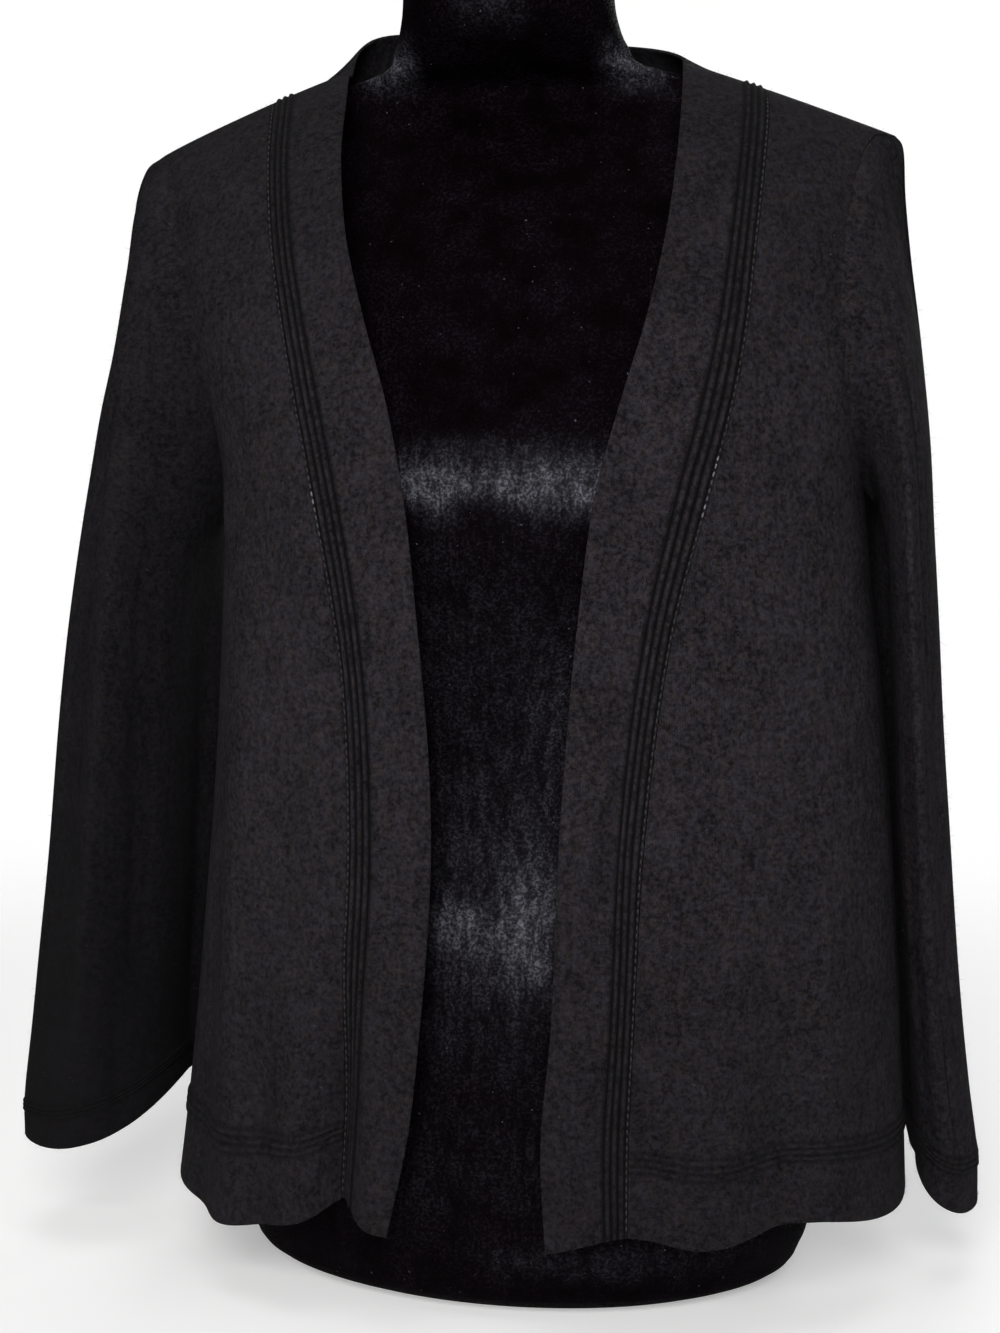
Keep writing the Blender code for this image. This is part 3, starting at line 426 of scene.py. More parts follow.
PAINTED_HIGHLIGHTS = (
    PaintedHighlight(Face.FRONT, -0.034, 0.4170, 0.024, 0.0085, 0.80),
    PaintedHighlight(Face.FRONT, -0.018, 0.4110, 0.009, 0.0110, 0.45),
    PaintedHighlight(Face.FRONT, 0.046, 0.4160, 0.032, 0.0120, 0.85),
    PaintedHighlight(Face.FRONT, 0.008, 0.4180, 0.090, 0.0070, 0.62),
    PaintedHighlight(Face.FRONT, 0.008, 0.4270, 0.090, 0.0120, 0.24),
    PaintedHighlight(Face.FRONT, 0.006, 0.3300, 0.070, 0.0650, 0.10),
    PaintedHighlight(Face.FRONT, 0.030, 0.3000, 0.014, 0.0450, 0.14),
    PaintedHighlight(Face.FRONT, 0.008, 0.2620, 0.050, 0.0300, 0.12),
    PaintedHighlight(Face.FRONT, 0.006, 0.2280, 0.045, 0.0220, 0.18),
    PaintedHighlight(Face.FRONT, 0.022, 0.2020, 0.014, 0.0270, 1.00),
    PaintedHighlight(Face.FRONT, -0.010, 0.2010, 0.016, 0.0120, 0.85),
    PaintedHighlight(Face.FRONT, 0.006, 0.1860, 0.035, 0.0240, 0.30),
    PaintedHighlight(Face.FRONT, 0.004, 0.1450, 0.040, 0.0220, 0.09),
    PaintedHighlight(Face.FRONT, 0.010, 0.0850, 0.110, 0.0500, 0.05),
    PaintedHighlight(Face.FRONT, 0.070, 0.0320, 0.070, 0.0100, 0.12),
    PaintedHighlight(Face.FRONT, -0.070, 0.634, 0.015, 0.010, 1.00),
    PaintedHighlight(Face.FRONT, 0.062, 0.632, 0.018, 0.011, 0.90),
    PaintedHighlight(Face.FRONT, -0.008, 0.668, 0.020, 0.020, 0.30),
    PaintedHighlight(Face.BACK, 0.000, 0.430, 0.080, 0.022, 0.55),
    PaintedHighlight(Face.BACK, 0.010, 0.120, 0.060, 0.040, 0.45),
    PaintedHighlight(Face.BACK, -0.008, 0.664, 0.024, 0.022, 0.35),
)


# The hem's and cuffs' rib lines are knitted in, and the painted shade in their grooves has this share of the
# bands' groove shade.
HEM_AND_CUFF_GROOVE_SHADE = 0.5

# Painted shade by height: height, and the share of its full paleness that the cloth keeps there, less where
# it is painted darker.
BODY_PAINTED_SHADE = (
    (0.03, 0.58),
    (0.12, 0.67),
    (0.25, 0.92),
    (0.34, 1.0),
    (0.46, 0.98),
    (0.54, 0.68),
    (0.63, 0.46),
)
# The sleeves' painted shade by height, much darker on the left sleeve.
LEFT_PAINTED_SHADE = ((0.05, 0.14), (0.15, 0.18), (0.30, 0.38), (0.42, 0.52), (0.52, 0.56), (0.60, 0.50))
RIGHT_PAINTED_SHADE = ((0.03, 0.72), (0.15, 0.82), (0.30, 0.92), (0.42, 0.92), (0.52, 0.86), (0.60, 0.56))


def ease(value: np.ndarray) -> np.ndarray:
    """0 to 1 with level ends."""
    value = np.clip(value, 0.0, 1.0)
    return value * value * (3.0 - 2.0 * value)


def rib_rise(place: np.ndarray, ribs: int) -> np.ndarray:
    """Share of a rib's full rise, with places counted in ribs."""
    return np.where((place > 0) & (place < ribs), np.sin(math.pi * place) ** 2, 0.0)


def rib_groove(place: np.ndarray, ribs: int) -> np.ndarray:
    """How deep a place lies in a groove between or beside ribs, with places counted in ribs."""
    return np.where((place > -0.5) & (place < ribs + 0.5), np.cos(math.pi * place) ** 2, 0.0)


def unit(vectors: np.ndarray) -> np.ndarray:
    """The vectors at length 1."""
    return vectors / np.maximum(np.linalg.norm(vectors, axis=-1, keepdims=True), 1e-12)


def walked(points: np.ndarray, axis: int) -> np.ndarray:
    """Distances walked along a grid's rows (axis 1) or columns (axis 0).

    Args:
        points: Grid of points, rows x columns x 3.
        axis: The axis to walk along.

    Returns:
        The distance of each point from the start of its line.
    """
    steps = np.linalg.norm(np.diff(points, axis=axis), axis=-1)
    start = np.zeros_like(np.take(steps, [0], axis=axis))
    return np.concatenate([start, np.cumsum(steps, axis=axis)], axis=axis)


class SmoothTable:
    """A table read as smooth curves through its rows, with the place in its first column."""

    def __init__(self, rows: tuple) -> None:
        """Takes the table's rows, in the order of their places."""
        self.values = np.array(rows, dtype=float)
        self.knots = self.values[:, 0]
        self.slopes = np.gradient(self.values, self.knots, axis=0)

    def at(self, places: np.ndarray) -> np.ndarray:
        """Reads the table at some places.

        Args:
            places: Places in the first column, of any shape.

        Returns:
            The whole row at each place, along a last axis.
        """
        places = np.clip(np.asarray(places, dtype=float), self.knots[0], self.knots[-1])
        index = np.clip(np.searchsorted(self.knots, places, side="right") - 1, 0, len(self.knots) - 2)
        step = (self.knots[index + 1] - self.knots[index])[..., None]
        t = (places - self.knots[index])[..., None] / step
        start = (2 * t**3 - 3 * t**2 + 1) * self.values[index]
        start += (t**3 - 2 * t**2 + t) * step * self.slopes[index]
        end = (3 * t**2 - 2 * t**3) * self.values[index + 1]
        end += (t**3 - t**2) * step * self.slopes[index + 1]
        return start + end

    def columns(self, places: np.ndarray) -> np.ndarray:
        """The table's columns at some places, one after the other."""
        return np.moveaxis(self.at(places), -1, 0)


LEVEL_CURVES = SmoothTable(LEVELS)
BAND_CURVES = SmoothTable(BAND_EDGES)
NECK_CURVES = SmoothTable(NECK_EDGES)
FORM_CURVES = SmoothTable(FORM_LEVELS)


@dataclass(frozen=True)
class BodyShell:
    """The cardigan's body as one shell round the form, with its folds and its uneven hem."""

    neck_centre: float = -0.008
    neck_half: float = 0.089
    shoulder_bow: float = 1.08
    least_depth: float = 0.02
    hem_shape_reach: float = 0.085
    fold_fade_start: float = 0.35
    fold_rise_share: float = 0.25

    def level(self, run: np.ndarray) -> Level:
        """The shell's sections at some runs, each value an array."""
        return Level(*LEVEL_CURVES.columns(run))

    def outer_edge(self, run: np.ndarray, side: Side) -> np.ndarray:
        """How far a front band's outer edge is from the middle."""
        edges = BandEdge(*BAND_CURVES.columns(run))
        return edges.right_outer if side is Side.RIGHT else edges.left_outer

    def inner_edge(self, run: np.ndarray, side: Side) -> np.ndarray:
        """How far a front band's free edge is from the middle."""
        edges = BandEdge(*BAND_CURVES.columns(run))
        return edges.right_inner if side is Side.RIGHT else edges.left_inner

    def shoulder_height(self, level: Level, x: np.ndarray) -> np.ndarray:
        """Height of a section at `x`: flat inside the neck, then down to the shoulder tip."""
        tip = np.where(x > self.neck_centre, level.half_right, -level.half_left)
        share = np.maximum(np.abs(x - self.neck_centre) - self.neck_half, 0.0)
        share = np.minimum(share / (np.abs(tip - self.neck_centre) - self.neck_half), 1.0)
        fall = level.outer_height - level.inner_height
        return level.inner_height + fall * share**self.shoulder_bow

    def fold_depth(self, face: Face, x: np.ndarray, height: np.ndarray) -> np.ndarray:
        """How far the folds and creases push the cloth out.

        Args:
            face: Front or back.
            x: Distances from the middle.
            height: Heights of the same points.

        Returns:
            The push at each point.
        """
        pushed = np.zeros_like(x)
        for fold in BODY_FOLDS + BODY_CREASES:
            if fold.face is not face:
                continue
            share = (height - fold.low_height) / (fold.high_height - fold.low_height)
            centre = fold.low_x + (fold.high_x - fold.low_x) * np.clip(share, 0.0, 1.0)
            fade = 1.0 - ease((share - self.fold_fade_start) / (1.0 - self.fold_fade_start))
            if fold.low_height > self.hem_shape_reach:
                fade = fade * ease(share / self.fold_rise_share)
            pushed += fold.depth * fade * np.exp(-(((x - centre) / fold.width) ** 2))
        return pushed

    def hem_lift(self, face: Face, x: np.ndarray, run: np.ndarray) -> np.ndarray:
        """How far the uneven hem lifts the cloth, fading upwards."""
        lift = np.zeros_like(x)
        for shape in HEM_SHAPES:
            if shape.face is face:
                lift += shape.lift * np.exp(-(((x - shape.x) / shape.width) ** 2))
        return lift * (1.0 - ease(run / self.hem_shape_reach))

    def points(self, run: np.ndarray, side: np.ndarray, turn: np.ndarray, face: Face) -> np.ndarray:
        """Points on the middle of the cloth.

        Args:
            run: Distances up the cloth from the hem.
            side: -1 on the left and 1 on the right.
            turn: 0 at the side seam and 90 at the centre.
            face: Front or back.

        Returns:
            One point for each run, side and turn.
        """
        run, side, turn = np.broadcast_arrays(run, side, turn)
        level = self.level(run)
        half = np.where(side > 0, level.half_right, level.half_left)
        depth = np.maximum(level.front if face is Face.FRONT else level.back, 0.0)
        angle = np.radians(turn)
        across = np.maximum(np.cos(angle), 0.0) ** (2.0 / level.fullness)
        out = np.maximum(np.sin(angle), 0.0) ** (2.0 / level.fullness)
        x = side * half * across
        height = self.shoulder_height(level, x)
        power = level.fullness - 1.0
        push_x = side * across**power / half
        push_y = face.value * out**power / np.maximum(depth, self.least_depth)
        push = unit(np.stack([push_x, push_y, np.zeros_like(push_x)], axis=-1))
        y = level.middle + face.value * depth * out
        flat = np.stack([x, y, height + self.hem_lift(face, x, run)], axis=-1)
        return flat + push * self.fold_depth(face, x, height)[..., None]

    def turn_at(self, run: np.ndarray, side: np.ndarray, x: np.ndarray) -> np.ndarray:
        """The turn at which a section of the shell passes the distance `x` from the middle."""
        level = self.level(run)
        half = np.where(side > 0, level.half_right, level.half_left)
        return np.degrees(np.arccos(np.minimum(np.abs(x) / half, 1.0) ** (level.fullness / 2.0)))

    def armhole(self, run: np.ndarray) -> np.ndarray:
        """The turn of the armhole's edge, 0 below it."""
        return np.maximum(self.level(run).armhole, 0.0)


@dataclass(frozen=True)
class BodyRows:
    """Distances up the cloth of the body's rows, closest on the hem's ribs."""

    rib_start: float = 0.034
    rib_pitch: float = 0.0036
    ribs: int = 3
    underarm: float = 0.372
    top: float = 0.622
    hem_step: float = 0.0024
    step: float = 0.0031
    rib_samples: int = 6

    def runs(self) -> np.ndarray:
        """The rows' distances up the cloth, with one row at the underarm."""
        rib_end = self.rib_start + self.ribs * self.rib_pitch
        stretches = (
            (0.0, self.rib_start, self.hem_step),
            (self.rib_start, rib_end, self.rib_pitch / self.rib_samples),
            (rib_end, self.underarm, self.step),
            (self.underarm, self.top, self.step),
        )
        rows = []
        for low, high, step in stretches:
            rows.append(np.linspace(low, high, round((high - low) / step), endpoint=False))
        return np.concatenate(rows + [np.array([self.top])])

    def rises(self) -> np.ndarray:
        """Share of a rib's full rise on each row."""
        return rib_rise((self.runs() - self.rib_start) / self.rib_pitch, self.ribs)

    def groove_shades(self) -> np.ndarray:
        """How much painted shade each row takes, by how deep it lies in a groove."""
        return HEM_AND_CUFF_GROOVE_SHADE * rib_groove((self.runs() - self.rib_start) / self.rib_pitch, self.ribs)

    def underarm_row(self) -> int:
        """The row at the underarm."""
        return int(np.argmin(np.abs(self.runs() - self.underarm)))


@dataclass(frozen=True)
class BandPlan:
    """Places across a band, from the edge that is sewn on to its free edge, with a strip of ribs."""

    strip_share: float = 0.28
    margin_share: float = 0.04
    ribs: int = 3
    rib_samples: int = 7
    plain_columns: int = 14

    def shares(self) -> np.ndarray:
        """The columns' places across the band."""
        margin = np.linspace(0.0, self.margin_share, 2, endpoint=False)
        samples = self.ribs * self.rib_samples
        strip = np.linspace(self.margin_share, self.strip_share, samples, endpoint=False)
        plain = np.linspace(self.strip_share, 1.0, self.plain_columns + 1)
        return np.concatenate([margin, strip, plain])

    def places(self) -> np.ndarray:
        """The columns' places, counted in ribs."""
        return (self.shares() - self.margin_share) / (self.strip_share - self.margin_share) * self.ribs

    def rises(self) -> np.ndarray:
        """Share of a rib's full rise on each column."""
        return rib_rise(self.places(), self.ribs)

    def groove_shades(self) -> np.ndarray:
        """How much painted shade each column takes, by how deep it lies in a groove."""
        return rib_groove(self.places(), self.ribs)


class Cut(NamedTuple):
    """The flat size that a piece was cut to, and its flat area, in metres."""

    width: float
    length: float
    area: float


class ShaderBench:
    """Places nodes in a node tree and joins them."""

    def __init__(self, tree: bpy.types.NodeTree) -> None:
        """Takes the tree to work in."""
        self.tree = tree

    def node(self, kind: str, **settings: object) -> bpy.types.Node:
        """Adds a node.

        Args:
            kind: The node's type.
            **settings: Its properties.

        Returns:
            The node.
        """
        made = self.tree.nodes.new(kind)
        for name, value in settings.items():
            setattr(made, name, value)
        return made

    def join(self, source: object, target: bpy.types.NodeSocket) -> None:
        """Links a socket to a target, or sets a plain value there."""
        if isinstance(source, bpy.types.NodeSocket):
            self.tree.links.new(source, target)
        else:
            target.default_value = source

    def maths(self, operation: str, *values: object) -> bpy.types.NodeSocket:
        """One step of arithmetic.

        Args:
            operation: The Math node's operation.
            *values: Sockets or numbers.

        Returns:
            The result's socket.
        """
        made = self.node("ShaderNodeMath", operation=operation)
        for value, socket in zip(values, made.inputs):
            self.join(value, socket)
        return made.outputs["Value"]

    def at_least(self, value: object, least: float) -> bpy.types.NodeSocket:
        """Presses a value of 0 to 1 into the range from `least` to 1."""
        return self.maths("MULTIPLY_ADD", value, 1.0 - least, least)

    def noise(
        self, place: object, scale: object, detail: float, roughness: float = 0.6
    ) -> bpy.types.NodeSocket:
        """A noise's factor.

        Args:
            place: Socket with the place, in metres.
            scale: Blobs to the metre.
            detail: Octaves.
            roughness: Weight of the finer octaves.

        Returns:
            The factor's socket.
        """
        made = self.node("ShaderNodeTexNoise")
        self.join(place, made.inputs["Vector"])
        self.join(scale, made.inputs["Scale"])
        made.inputs["Detail"].default_value = detail
        made.inputs["Roughness"].default_value = roughness
        return made.outputs["Fac"]

    def ramp(self, value: object, low: float, high: float, smooth: bool = True) -> bpy.types.NodeSocket:
        """0 below `low` and 1 above `high`.

        Args:
            value: The value's socket.
            low: Where the ramp starts.
            high: Where it ends.
            smooth: Whether its ends are level.

        Returns:
            The ramp's socket.
        """
        made = self.node("ShaderNodeMapRange", interpolation_type="SMOOTHSTEP" if smooth else "LINEAR")
        self.join(value, made.inputs["Value"])
        made.inputs["From Min"].default_value = low
        made.inputs["From Max"].default_value = high
        return made.outputs["Result"]

    def relief(self, height: object, shader: bpy.types.Node) -> None:
        """Bumps a shader by a height in metres."""
        bump = self.node("ShaderNodeBump")
        bump.inputs["Strength"].default_value = 1.0
        bump.inputs["Distance"].default_value = 1.0
        self.join(height, bump.inputs["Height"])
        self.join(bump.outputs["Normal"], shader.inputs["Normal"])

    def blend(self, factor: object, first: object, second: object) -> bpy.types.NodeSocket:
        """A colour between two.

        Args:
            factor: 0 for the first, 1 for the second.
            first: Socket or RGBA.
            second: Socket or RGBA.

        Returns:
            The colour's socket.
        """
        made = self.node("ShaderNodeMix", data_type="RGBA")
        self.join(factor, made.inputs["Factor"])
        colours = [socket for socket in made.inputs if socket.type == "RGBA"]
        self.join(first, colours[0])
        self.join(second, colours[1])
        return next(socket for socket in made.outputs if socket.type == "RGBA")


def new_group(name: str, inputs: dict, outputs: tuple) -> tuple:
    """Starts a shader node group with named sockets.

    Args:
        name: The group's name.
        inputs: Socket type and default of each input, by name.
        outputs: Names of the outputs, which are all single values.

    Returns:
        The group, its bench, and its input and output nodes.
    """
    group = bpy.data.node_groups.new(name, "ShaderNodeTree")
    for socket, (kind, default) in inputs.items():
        made = group.interface.new_socket(socket, in_out="INPUT", socket_type=kind)
        if default is not None:
            made.default_value = default
    for socket in outputs:
        group.interface.new_socket(socket, in_out="OUTPUT", socket_type="NodeSocketFloat")
    bench = ShaderBench(group)
    return group, bench, bench.node("NodeGroupInput"), bench.node("NodeGroupOutput")


def knit_loops_group() -> bpy.types.NodeTree:
    """The loops of a plain knit: columns of small V's, on a map in metres.

    Returns:
        A group with Place, Wale, Course and Wander in, and Height and Gap out.
    """
    inputs = {
        "Place": ("NodeSocketVector", None),
        "Wale": ("NodeSocketFloat", 0.0015),
        "Course": ("NodeSocketFloat", 0.0012),
        "Wander": ("NodeSocketFloat", 0.3),
    }
    group, bench, given, result = new_group("knit_loops", inputs, ("Height", "Gap"))
    place = bench.node("ShaderNodeSeparateXYZ")
    bench.join(given.outputs["Place"], place.inputs[0])
    sway = bench.maths("SUBTRACT", bench.noise(given.outputs["Place"], 260.0, 2.0), 0.5)
    sway = bench.maths("MULTIPLY", sway, given.outputs["Wander"])
    wale = bench.maths("ADD", bench.maths("DIVIDE", place.outputs["X"], given.outputs["Wale"]), sway)
    aside = bench.maths("SUBTRACT", bench.maths("FRACT", wale), 0.5)
    arm = bench.maths("MULTIPLY", bench.maths("ABSOLUTE", aside), 2.0)
    course = bench.maths("DIVIDE", place.outputs["Y"], given.outputs["Course"])
    course = bench.maths("ADD", bench.maths("ADD", course, sway), bench.maths("MULTIPLY", arm, 0.8))
    round_arm = bench.maths("SINE", bench.maths("MULTIPLY", arm, math.pi))
    round_loop = bench.maths("SINE", bench.maths("MULTIPLY", bench.maths("FRACT", course), math.pi))
    loop = bench.maths("MULTIPLY_ADD", round_loop, 0.65, 0.35)
    height = bench.maths("MULTIPLY", round_arm, loop)
    bench.join(height, result.inputs["Height"])
    bench.join(bench.maths("SUBTRACT", 1.0, bench.ramp(height, 0.05, 0.55)), result.inputs["Gap"])
    return group


def cloth_mottle_group() -> bpy.types.NodeTree:
    """Uneven tone of a pile or fuzz: broad patches, fine flecks, upright streaks and a few specks of lint.

    Returns:
        A group with Place, Patch Scale and Fleck Scale in, and Patches, Flecks, Streaks and Lint out.
    """
    inputs = {
        "Place": ("NodeSocketVector", None),
        "Patch Scale": ("NodeSocketFloat", 30.0),
        "Fleck Scale": ("NodeSocketFloat", 700.0),
    }
    outputs = ("Patches", "Flecks", "Streaks", "Lint")
    group, bench, given, result = new_group("cloth_mottle", inputs, outputs)
    patches = bench.noise(given.outputs["Place"], given.outputs["Patch Scale"], 4.0)
    flecks = bench.noise(given.outputs["Place"], given.outputs["Fleck Scale"], 2.0, 0.7)
    lint = bench.noise(given.outputs["Place"], 420.0, 1.0)
    drawn = bench.node("ShaderNodeVectorMath", operation="MULTIPLY")
    bench.join(given.outputs["Place"], drawn.inputs[0])
    drawn.inputs[1].default_value = (1.0, 1.0, 0.28)
    streaks = bench.noise(drawn.outputs["Vector"], 210.0, 3.0, 0.65)
    bench.join(bench.ramp(patches, 0.32, 0.68), result.inputs["Patches"])
    bench.join(bench.ramp(flecks, 0.38, 0.62), result.inputs["Flecks"])
    bench.join(bench.ramp(streaks, 0.36, 0.66), result.inputs["Streaks"])
    bench.join(bench.ramp(lint, 0.765, 0.80), result.inputs["Lint"])
    return group


class Effects:
    """The shader groups that materials share, each built once."""

    def __init__(self) -> None:
        """Builds both groups."""
        self.loops = knit_loops_group()
        self.mottle = cloth_mottle_group()


def start_material(name: str) -> tuple:
    """A new material with its bench and its Principled shader."""
    material = bpy.data.materials.new(name)
    material.use_nodes = True
    return material, ShaderBench(material.node_tree), material.node_tree.nodes["Principled BSDF"]


def use_group(bench: ShaderBench, group: bpy.types.NodeTree, **values: object) -> bpy.types.Node:
    """Places a shared group.

    Args:
        bench: Bench of the material.
        group: The group.
        **values: Its inputs by name, with underscores for spaces.

    Returns:
        The group's node.
    """
    made = bench.node("ShaderNodeGroup", node_tree=group)
    for name, value in values.items():
        bench.join(value, made.inputs[name.replace("_", " ")])
    return made


@dataclass(frozen=True)
class KnitFinish:
    """Matte fine-gauge knit in faded black, with a soft bloom of fuzz, painted shade by height, and painted
    shade in its rib grooves and between its loops.
    """

    name: str
    dark: tuple = (0.0032, 0.0028, 0.0036, 1.0)
    warm: tuple = (0.0462, 0.0375, 0.0410, 1.0)
    cool: tuple = (0.0406, 0.0380, 0.0474, 1.0)
    lint: tuple = (0.045, 0.045, 0.048, 1.0)
    # Painted shade colour for the rib grooves.
    groove_shade: tuple = (0.0022, 0.0020, 0.0024, 1.0)
    wale: float = 0.0015
    course: float = 0.0012
    loop_depth: float = 0.00042
    fuzz_depth: float = 0.00030
    sheen: float = 0.015
    sheen_roughness: float = 0.6
    specular: float = 0.03
    base_tone: float = 0.05
    fleck_tone: float = 0.36
    speck_tone: float = 0.30
    patch_tone: float = 0.16
    streak_tone: float = 0.14
    gap_shade_tone: float = -0.20
    roughness: float = 0.84
    fleck_roughness: float = 0.12

    def material(self, effects: Effects) -> bpy.types.Material:
        """Builds the material.

        Args:
            effects: The shared groups.

        Returns:
            The material.
        """
        material, bench, shader = start_material(self.name)
        chart = bench.node("ShaderNodeUVMap", uv_map="cloth").outputs["UV"]
        place = bench.node("ShaderNodeTexCoord").outputs["Object"]
        loops = use_group(bench, effects.loops, Place=chart, Wale=self.wale, Course=self.course)
        mottle = use_group(bench, effects.mottle, Place=place, Patch_Scale=34.0, Fleck_Scale=520.0)
        # Painted shade: the tone is scaled down by a point attribute, darker low down, at the shoulders and
        # on the left sleeve.
        dimming = bench.node("ShaderNodeAttribute", attribute_name="fade").outputs["Fac"]
        specks = bench.ramp(bench.noise(place, 300.0, 2.0), 0.38, 0.62)
        tone = bench.maths("MULTIPLY_ADD", mottle.outputs["Flecks"], self.fleck_tone, self.base_tone)
        tone = bench.maths("MULTIPLY_ADD", specks, self.speck_tone, tone)
        tone = bench.maths("MULTIPLY_ADD", mottle.outputs["Patches"], self.patch_tone, tone)
        tone = bench.maths("MULTIPLY_ADD", mottle.outputs["Streaks"], self.streak_tone, tone)
        # Painted shade: the gaps between the knit's loops are painted darker.
        tone = bench.maths("MULTIPLY_ADD", loops.outputs["Gap"], self.gap_shade_tone, tone)
        tone = bench.maths("MULTIPLY", bench.maths("MAXIMUM", tone, 0.0), dimming)
        hue = bench.ramp(bench.noise(place, 190.0, 4.0, 0.75), 0.40, 0.60)
        colour = bench.blend(tone, self.dark, bench.blend(hue, self.warm, self.cool))
        colour = bench.blend(mottle.outputs["Lint"], colour, self.lint)
        # Painted shade: the rib grooves are painted darker.
        groove_shade_mask = bench.node("ShaderNodeAttribute", attribute_name="groove_shade").outputs["Fac"]
        colour = bench.blend(groove_shade_mask, colour, self.groove_shade)
        bench.join(colour, shader.inputs["Base Color"])
        rough = bench.maths("MULTIPLY_ADD", mottle.outputs["Flecks"], self.fleck_roughness, self.roughness)
        bench.join(rough, shader.inputs["Roughness"])
        fuzz = bench.maths("MULTIPLY", mottle.outputs["Flecks"], self.fuzz_depth)
        bench.relief(bench.maths("MULTIPLY_ADD", loops.outputs["Height"], self.loop_depth, fuzz), shader)
        shader.inputs["Specular IOR Level"].default_value = self.specular
        shader.inputs["Sheen Weight"].default_value = self.sheen
        shader.inputs["Sheen Roughness"].default_value = self.sheen_roughness
        return material


@dataclass(frozen=True)
class VelvetFinish:
    """Black velvet: a near-black pile, with painted highlights that are pale and speckled, and specks of pale
    lint.
    """

    name: str = "black_velvet"
    dark: tuple = (0.0012, 0.0002, 0.0008, 1.0)
    dusty: tuple = (0.0060, 0.0042, 0.0066, 1.0)
    pale: tuple = (0.125, 0.126, 0.150, 1.0)
    pile_depth: float = 0.0007
    specular: float = 0.02
    least_speckle: float = 0.25
    least_streak: float = 0.30
    lint_share: float = 0.5
    roughness: float = 0.55
    fleck_roughness: float = 0.25

    def material(self, effects: Effects) -> bpy.types.Material:
        """Builds the material.

        Args:
            effects: The shared groups.

        Returns:
            The material.
        """
        material, bench, shader = start_material(self.name)
        place = bench.node("ShaderNodeTexCoord").outputs["Object"]
        mottle = use_group(bench, effects.mottle, Place=place, Patch_Scale=46.0, Fleck_Scale=620.0)
        # Painted highlight: where the point attribute says so, the pile is painted pale and speckled.
        painted_highlight = bench.node("ShaderNodeAttribute", attribute_name="painted_highlight").outputs["Fac"]
        grain = bench.maths("MULTIPLY", mottle.outputs["Patches"], mottle.outputs["Flecks"])
        ground = bench.blend(grain, self.dark, self.dusty)
        speckle = bench.at_least(mottle.outputs["Flecks"], self.least_speckle)
        broken = bench.at_least(mottle.outputs["Streaks"], self.least_streak)
        highlight_share = bench.maths("MULTIPLY", bench.maths("MULTIPLY", painted_highlight, speckle), broken)
        colour = bench.blend(highlight_share, ground, self.pale)
        lint = bench.maths("MULTIPLY", mottle.outputs["Lint"], self.lint_share)
        colour = bench.blend(lint, colour, self.pale)
        bench.join(colour, shader.inputs["Base Color"])
        rough = bench.maths("MULTIPLY_ADD", mottle.outputs["Flecks"], self.fleck_roughness, self.roughness)
        bench.join(rough, shader.inputs["Roughness"])
        bench.relief(bench.maths("MULTIPLY", mottle.outputs["Flecks"], self.pile_depth), shader)
        shader.inputs["Specular IOR Level"].default_value = self.specular
        return material


@dataclass(frozen=True)
class ThreadFinish:
    """Sewing thread, dark, and pale where its `shine` attribute is 1."""

    name: str = "sewing_thread"
    dark: tuple = (0.0120, 0.0105, 0.0122, 1.0)
    pale: tuple = (0.42, 0.41, 0.43, 1.0)
    least_shine: float = 0.3
    roughness: float = 0.6
    fleck_roughness: float = 0.2

    def material(self, effects: Effects) -> bpy.types.Material:
        """Builds the material.

        Args:
            effects: The shared groups.

        Returns:
            The material.
        """
        material, bench, shader = start_material(self.name)
        place = bench.node("ShaderNodeTexCoord").outputs["Object"]
        mottle = use_group(bench, effects.mottle, Place=place, Patch_Scale=300.0, Fleck_Scale=1500.0)
        shine = bench.node("ShaderNodeAttribute", attribute_name="shine").outputs["Fac"]
        dimming = bench.at_least(mottle.outputs["Patches"], self.least_shine)
        colour = bench.blend(bench.maths("MULTIPLY", shine, dimming), self.dark, self.pale)
        bench.join(colour, shader.inputs["Base Color"])
        rough = bench.maths("MULTIPLY_ADD", mottle.outputs["Flecks"], self.fleck_roughness, self.roughness)
        bench.join(rough, shader.inputs["Roughness"])
        return material


def keep_values(mesh: bpy.types.Mesh, name: str, values: np.ndarray) -> None:
    """Keeps a named value for each of a mesh's points."""
    mesh.attributes.new(name, "FLOAT", "POINT").data.foreach_set("value", values.astype(np.float32))


def add_piece(mesh: bpy.types.Mesh, material: bpy.types.Material) -> bpy.types.Object:
    """Puts a mesh in the scene as a piece of the object.

    Args:
        mesh: The mesh, whose name the piece takes.
        material: Its material.

    Returns:
        The piece.
    """
    mesh.materials.append(material)
    mesh.shade_smooth()
    piece = bpy.data.objects.new(mesh.name, mesh)
    bpy.context.scene.collection.objects.link(piece)
    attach(piece, "root")
    return piece


